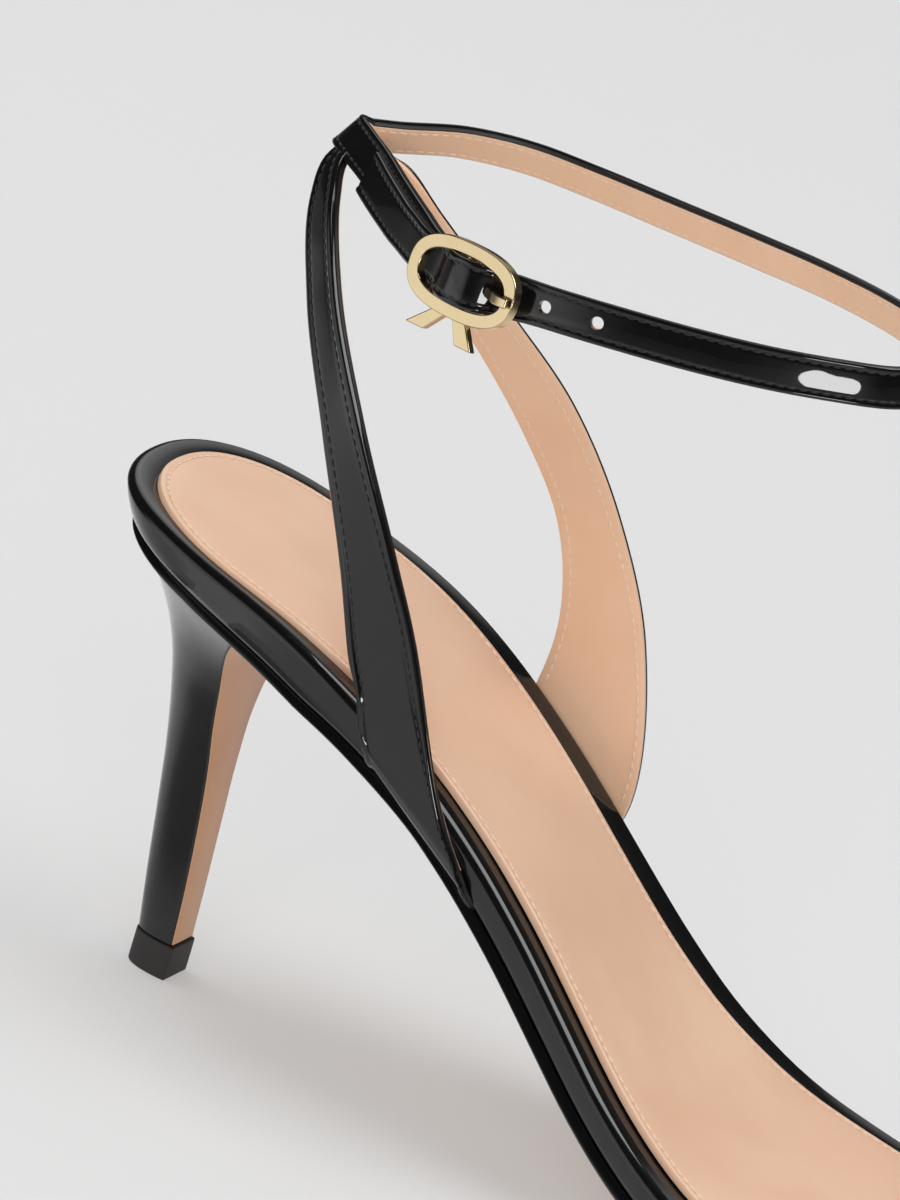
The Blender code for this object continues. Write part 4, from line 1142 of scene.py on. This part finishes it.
def build_buckle():
    """Oval ring with its bar, two ribbon ends and the prong, and the strap's fold round the bar."""
    back = BAR_RISE
    loops = [oval(inset * RING_BAND, back + level * RING_THICK) for inset, level in RING_PROFILE]
    torus = bpy.ops.mesh.primitive_torus_add
    ring = primitive("buckle_ring", torus, major_segments=RING_POINTS, minor_segments=len(RING_PROFILE))
    place_vertices(ring, np.stack(loops, axis=1).reshape(-1, 3))
    ring.data.materials.append(GOLD)
    close_skin(ring)
    finish_piece(ring, "pale_gold", "buckle_frame")

    bar = rod("buckle_bar", (RING_HEIGHT - RING_BAND) / 2, BAR_RADIUS, GOLD)
    bevelled(bar, *BAR_BEVEL)
    finish_piece(bar, "pale_gold", "buckle_frame")

    low = -RING_HEIGHT / 2
    levels = (back + TAIL_INSET, back + TAIL_INSET + TAIL_THICK)
    for number, (start, stop, drop, wide) in enumerate(TAILS):
        root, tip = TAIL_ROOT_WIDTH / 2, wide / 2
        upper = rectangle_in_buckle((start - root, start + root), low + RING_BAND / 2, levels)
        lower = rectangle_in_buckle((stop - tip, stop + tip), low - drop, levels)
        gold_block(f"buckle_ribbon_end_{number}", [upper, lower], TAIL_BEVEL, "buckle_frame")

    wide = PRONG_WIDTH / 2
    across = np.array([-wide, wide, wide, -wide])
    upright = np.array([-1, -1, 1, 1])
    rings = [buckle_point(u, across, n + tall * upright) for u, n, tall in PRONG_PATH]
    gold_block("buckle_prong", rings, PRONG_BEVEL, "buckle_prong")
    eye = rod("buckle_prong_eye", wide, PRONG_EYE_RADIUS, GOLD)
    bevelled(eye, *EYE_BEVEL)
    finish_piece(eye, "pale_gold", "buckle_prong")

    fold_half = (ANKLE_WIDTH / 2 - EYE_SLOT) / 2
    for number, side in enumerate((-1, 1)):
        middle = side * (EYE_SLOT + fold_half)
        fold = rod(f"ankle_strap_fold_{number}", fold_half, EYE_RADIUS, PATENT, middle)
        bevelled(fold, *FOLD_BEVEL)
        finish_piece(fold, "black_patent", "ankle_upper")


# Studio.

def pale_side(tree, way, side, edges, aside, towards):
    """Value which goes softly from aside to towards as a direction turns to a pale side of the room."""
    near = add_node(tree, "ShaderNodeVectorMath", {0: way, 1: side}, operation="DOT_PRODUCT")
    share = add_node(tree, "ShaderNodeMapRange", {
        "Value": near.outputs["Value"], "From Min": edges[0], "From Max": edges[1],
        "To Min": aside, "To Max": towards}, interpolation_type="SMOOTHSTEP")
    return share.outputs["Result"]


def within(tree, place, middle, near, far, inside, outside):
    """Value which goes softly from inside to outside with the distance from a middle."""
    distance = add_node(tree, "ShaderNodeVectorMath", {0: place, 1: middle}, operation="DISTANCE")
    share = add_node(tree, "ShaderNodeMapRange", {
        "Value": distance.outputs["Value"], "From Min": near, "From Max": far,
        "To Min": inside, "To Max": outside}, interpolation_type="SMOOTHSTEP")
    return share.outputs["Result"]


def mixed(tree, share, first, second):
    """Colour between two, each a colour or a link."""
    made = add_node(tree, "ShaderNodeMixRGB", {"Fac": share, "Color1": first, "Color2": second})
    return made.outputs["Color"]


def build_floor():
    """Pale floor, which the gloss sees darker far away and beside the heel."""
    floor = primitive("floor", bpy.ops.mesh.primitive_plane_add, size=FLOOR_SIZE)
    finish, tree, shader, place = start_finish("studio floor", Roughness=0.9, Emission_Strength=FLOOR_GLOW)
    mirrored = add_node(tree, "ShaderNodeLightPath", {}).outputs["Is Glossy Ray"]
    far = within(tree, place, FLOOR_MIDDLE, FLOOR_NEAR, FLOOR_FAR, 0.0, mirrored)
    beside = within(tree, place, SHADE_MIDDLE, SHADE_NEAR, SHADE_FAR, mirrored, 0.0)
    way = add_node(tree, "ShaderNodeVectorMath", {0: place}, operation="NORMALIZE").outputs["Vector"]
    dark = pale_side(tree, way, PALE_SIDE, PALE_EDGES, far, 0.0)
    bright = pale_side(tree, way, PALE_SIDE, PALE_EDGES, 0.0, far)
    dull = mixed(tree, dark, colour(FLOOR_PALE), colour(FLOOR_DARK))
    shaded = mixed(tree, beside, dull, colour(FLOOR_SHADE))
    tone = mixed(tree, bright, shaded, colour(FLOOR_BRIGHT))
    tree.links.new(tone, shader.inputs["Base Color"])
    tree.links.new(tone, shader.inputs["Emission Color"])
    floor.data.materials.append(finish)


def build_room():
    """Even pale room for matt surfaces, and a dark one with two pale sides for the gloss."""
    world = bpy.data.worlds.new("studio")
    world.use_nodes = True
    tree = world.node_tree
    mirrored = add_node(tree, "ShaderNodeLightPath", {}).outputs["Is Glossy Ray"]
    way = add_node(tree, "ShaderNodeTexCoord", {}).outputs["Generated"]
    seen = colour(ROOM_DARK)
    for side, edges in ((PALE_SIDE, PALE_EDGES), (BACK_SIDE, BACK_EDGES)):
        seen = mixed(tree, pale_side(tree, way, side, edges, 0.0, 1.0), seen, colour(ROOM_BRIGHT))
    room = mixed(tree, mirrored, colour(ROOM_PALE), seen)
    tree.links.new(room, tree.nodes["Background"].inputs["Color"])
    bpy.context.scene.world = world
    bpy.context.scene.view_settings.view_transform = "Standard"


def stand(piece, right, up, back, place):
    """Puts a camera or light at a place with its axes."""
    matrix = np.eye(4)
    matrix[:3] = np.stack((right, up, back, place), axis=1)
    piece.matrix_world = Matrix(matrix)


def build_lights():
    """Area lights, each for the matt surfaces or for the gloss."""
    for name, shape, where, target, size, power, surfaces in LIGHTS:
        lamp = bpy.data.lights.new(name, "AREA")
        lamp.shape = shape
        lamp.size, lamp.size_y = size
        lamp.energy = power
        lit = bpy.data.objects.new(name, lamp)
        lit.visible_camera = False
        lit.visible_glossy = surfaces == "gloss"
        lit.visible_diffuse = surfaces == "matt"
        bpy.context.collection.objects.link(lit)
        place = np.array(where)
        back = unit(place - np.array(target))
        right = unit(np.cross((0.0, 0.0, 1.0), back))
        stand(lit, right, np.cross(back, right), back, place)


def build_camera():
    """Camera at the photograph's angle."""
    lens = bpy.data.cameras.new("camera")
    lens.sensor_width = SENSOR
    lens.lens = CAMERA_LENS
    lens.clip_start, lens.clip_end = CAMERA_CLIP
    camera = bpy.data.objects.new("camera", lens)
    bpy.context.collection.objects.link(camera)
    turn, rise, roll = np.radians((CAMERA_TURN, CAMERA_RISE, CAMERA_ROLL))
    back = np.array((math.sin(turn) * math.cos(rise), -math.cos(turn) * math.cos(rise), math.sin(rise)))
    right = np.array((math.cos(turn), math.sin(turn), 0.0))
    up = np.cross(back, right)
    rolled_right = math.cos(roll) * right + math.sin(roll) * up
    rolled_up = -math.sin(roll) * right + math.cos(roll) * up
    stand(camera, rolled_right, rolled_up, back, np.array(CAMERA_AIM) + back * CAMERA_DISTANCE)
    bpy.context.scene.camera = camera


build_floor()
build_room()
build_lights()
build_camera()
build_sole()
build_heel()
black_seams = []
nude_seams = [insole_seam()]
both_seams = black_seams, nude_seams
build_side_strap("lateral_side_strap", -1, LATERAL_ROOT, LATERAL_STRAP, both_seams)
build_side_strap("medial_side_strap", 1, MEDIAL_ROOT, MEDIAL_STRAP, both_seams)
build_ankle_strap(both_seams)
build_toe_strap(both_seams)
sew("stitches_black", black_seams, BLACK_THREAD, "black_patent")
sew("stitches_nude", nude_seams, NUDE_THREAD, "nude_leather")
build_buckle()
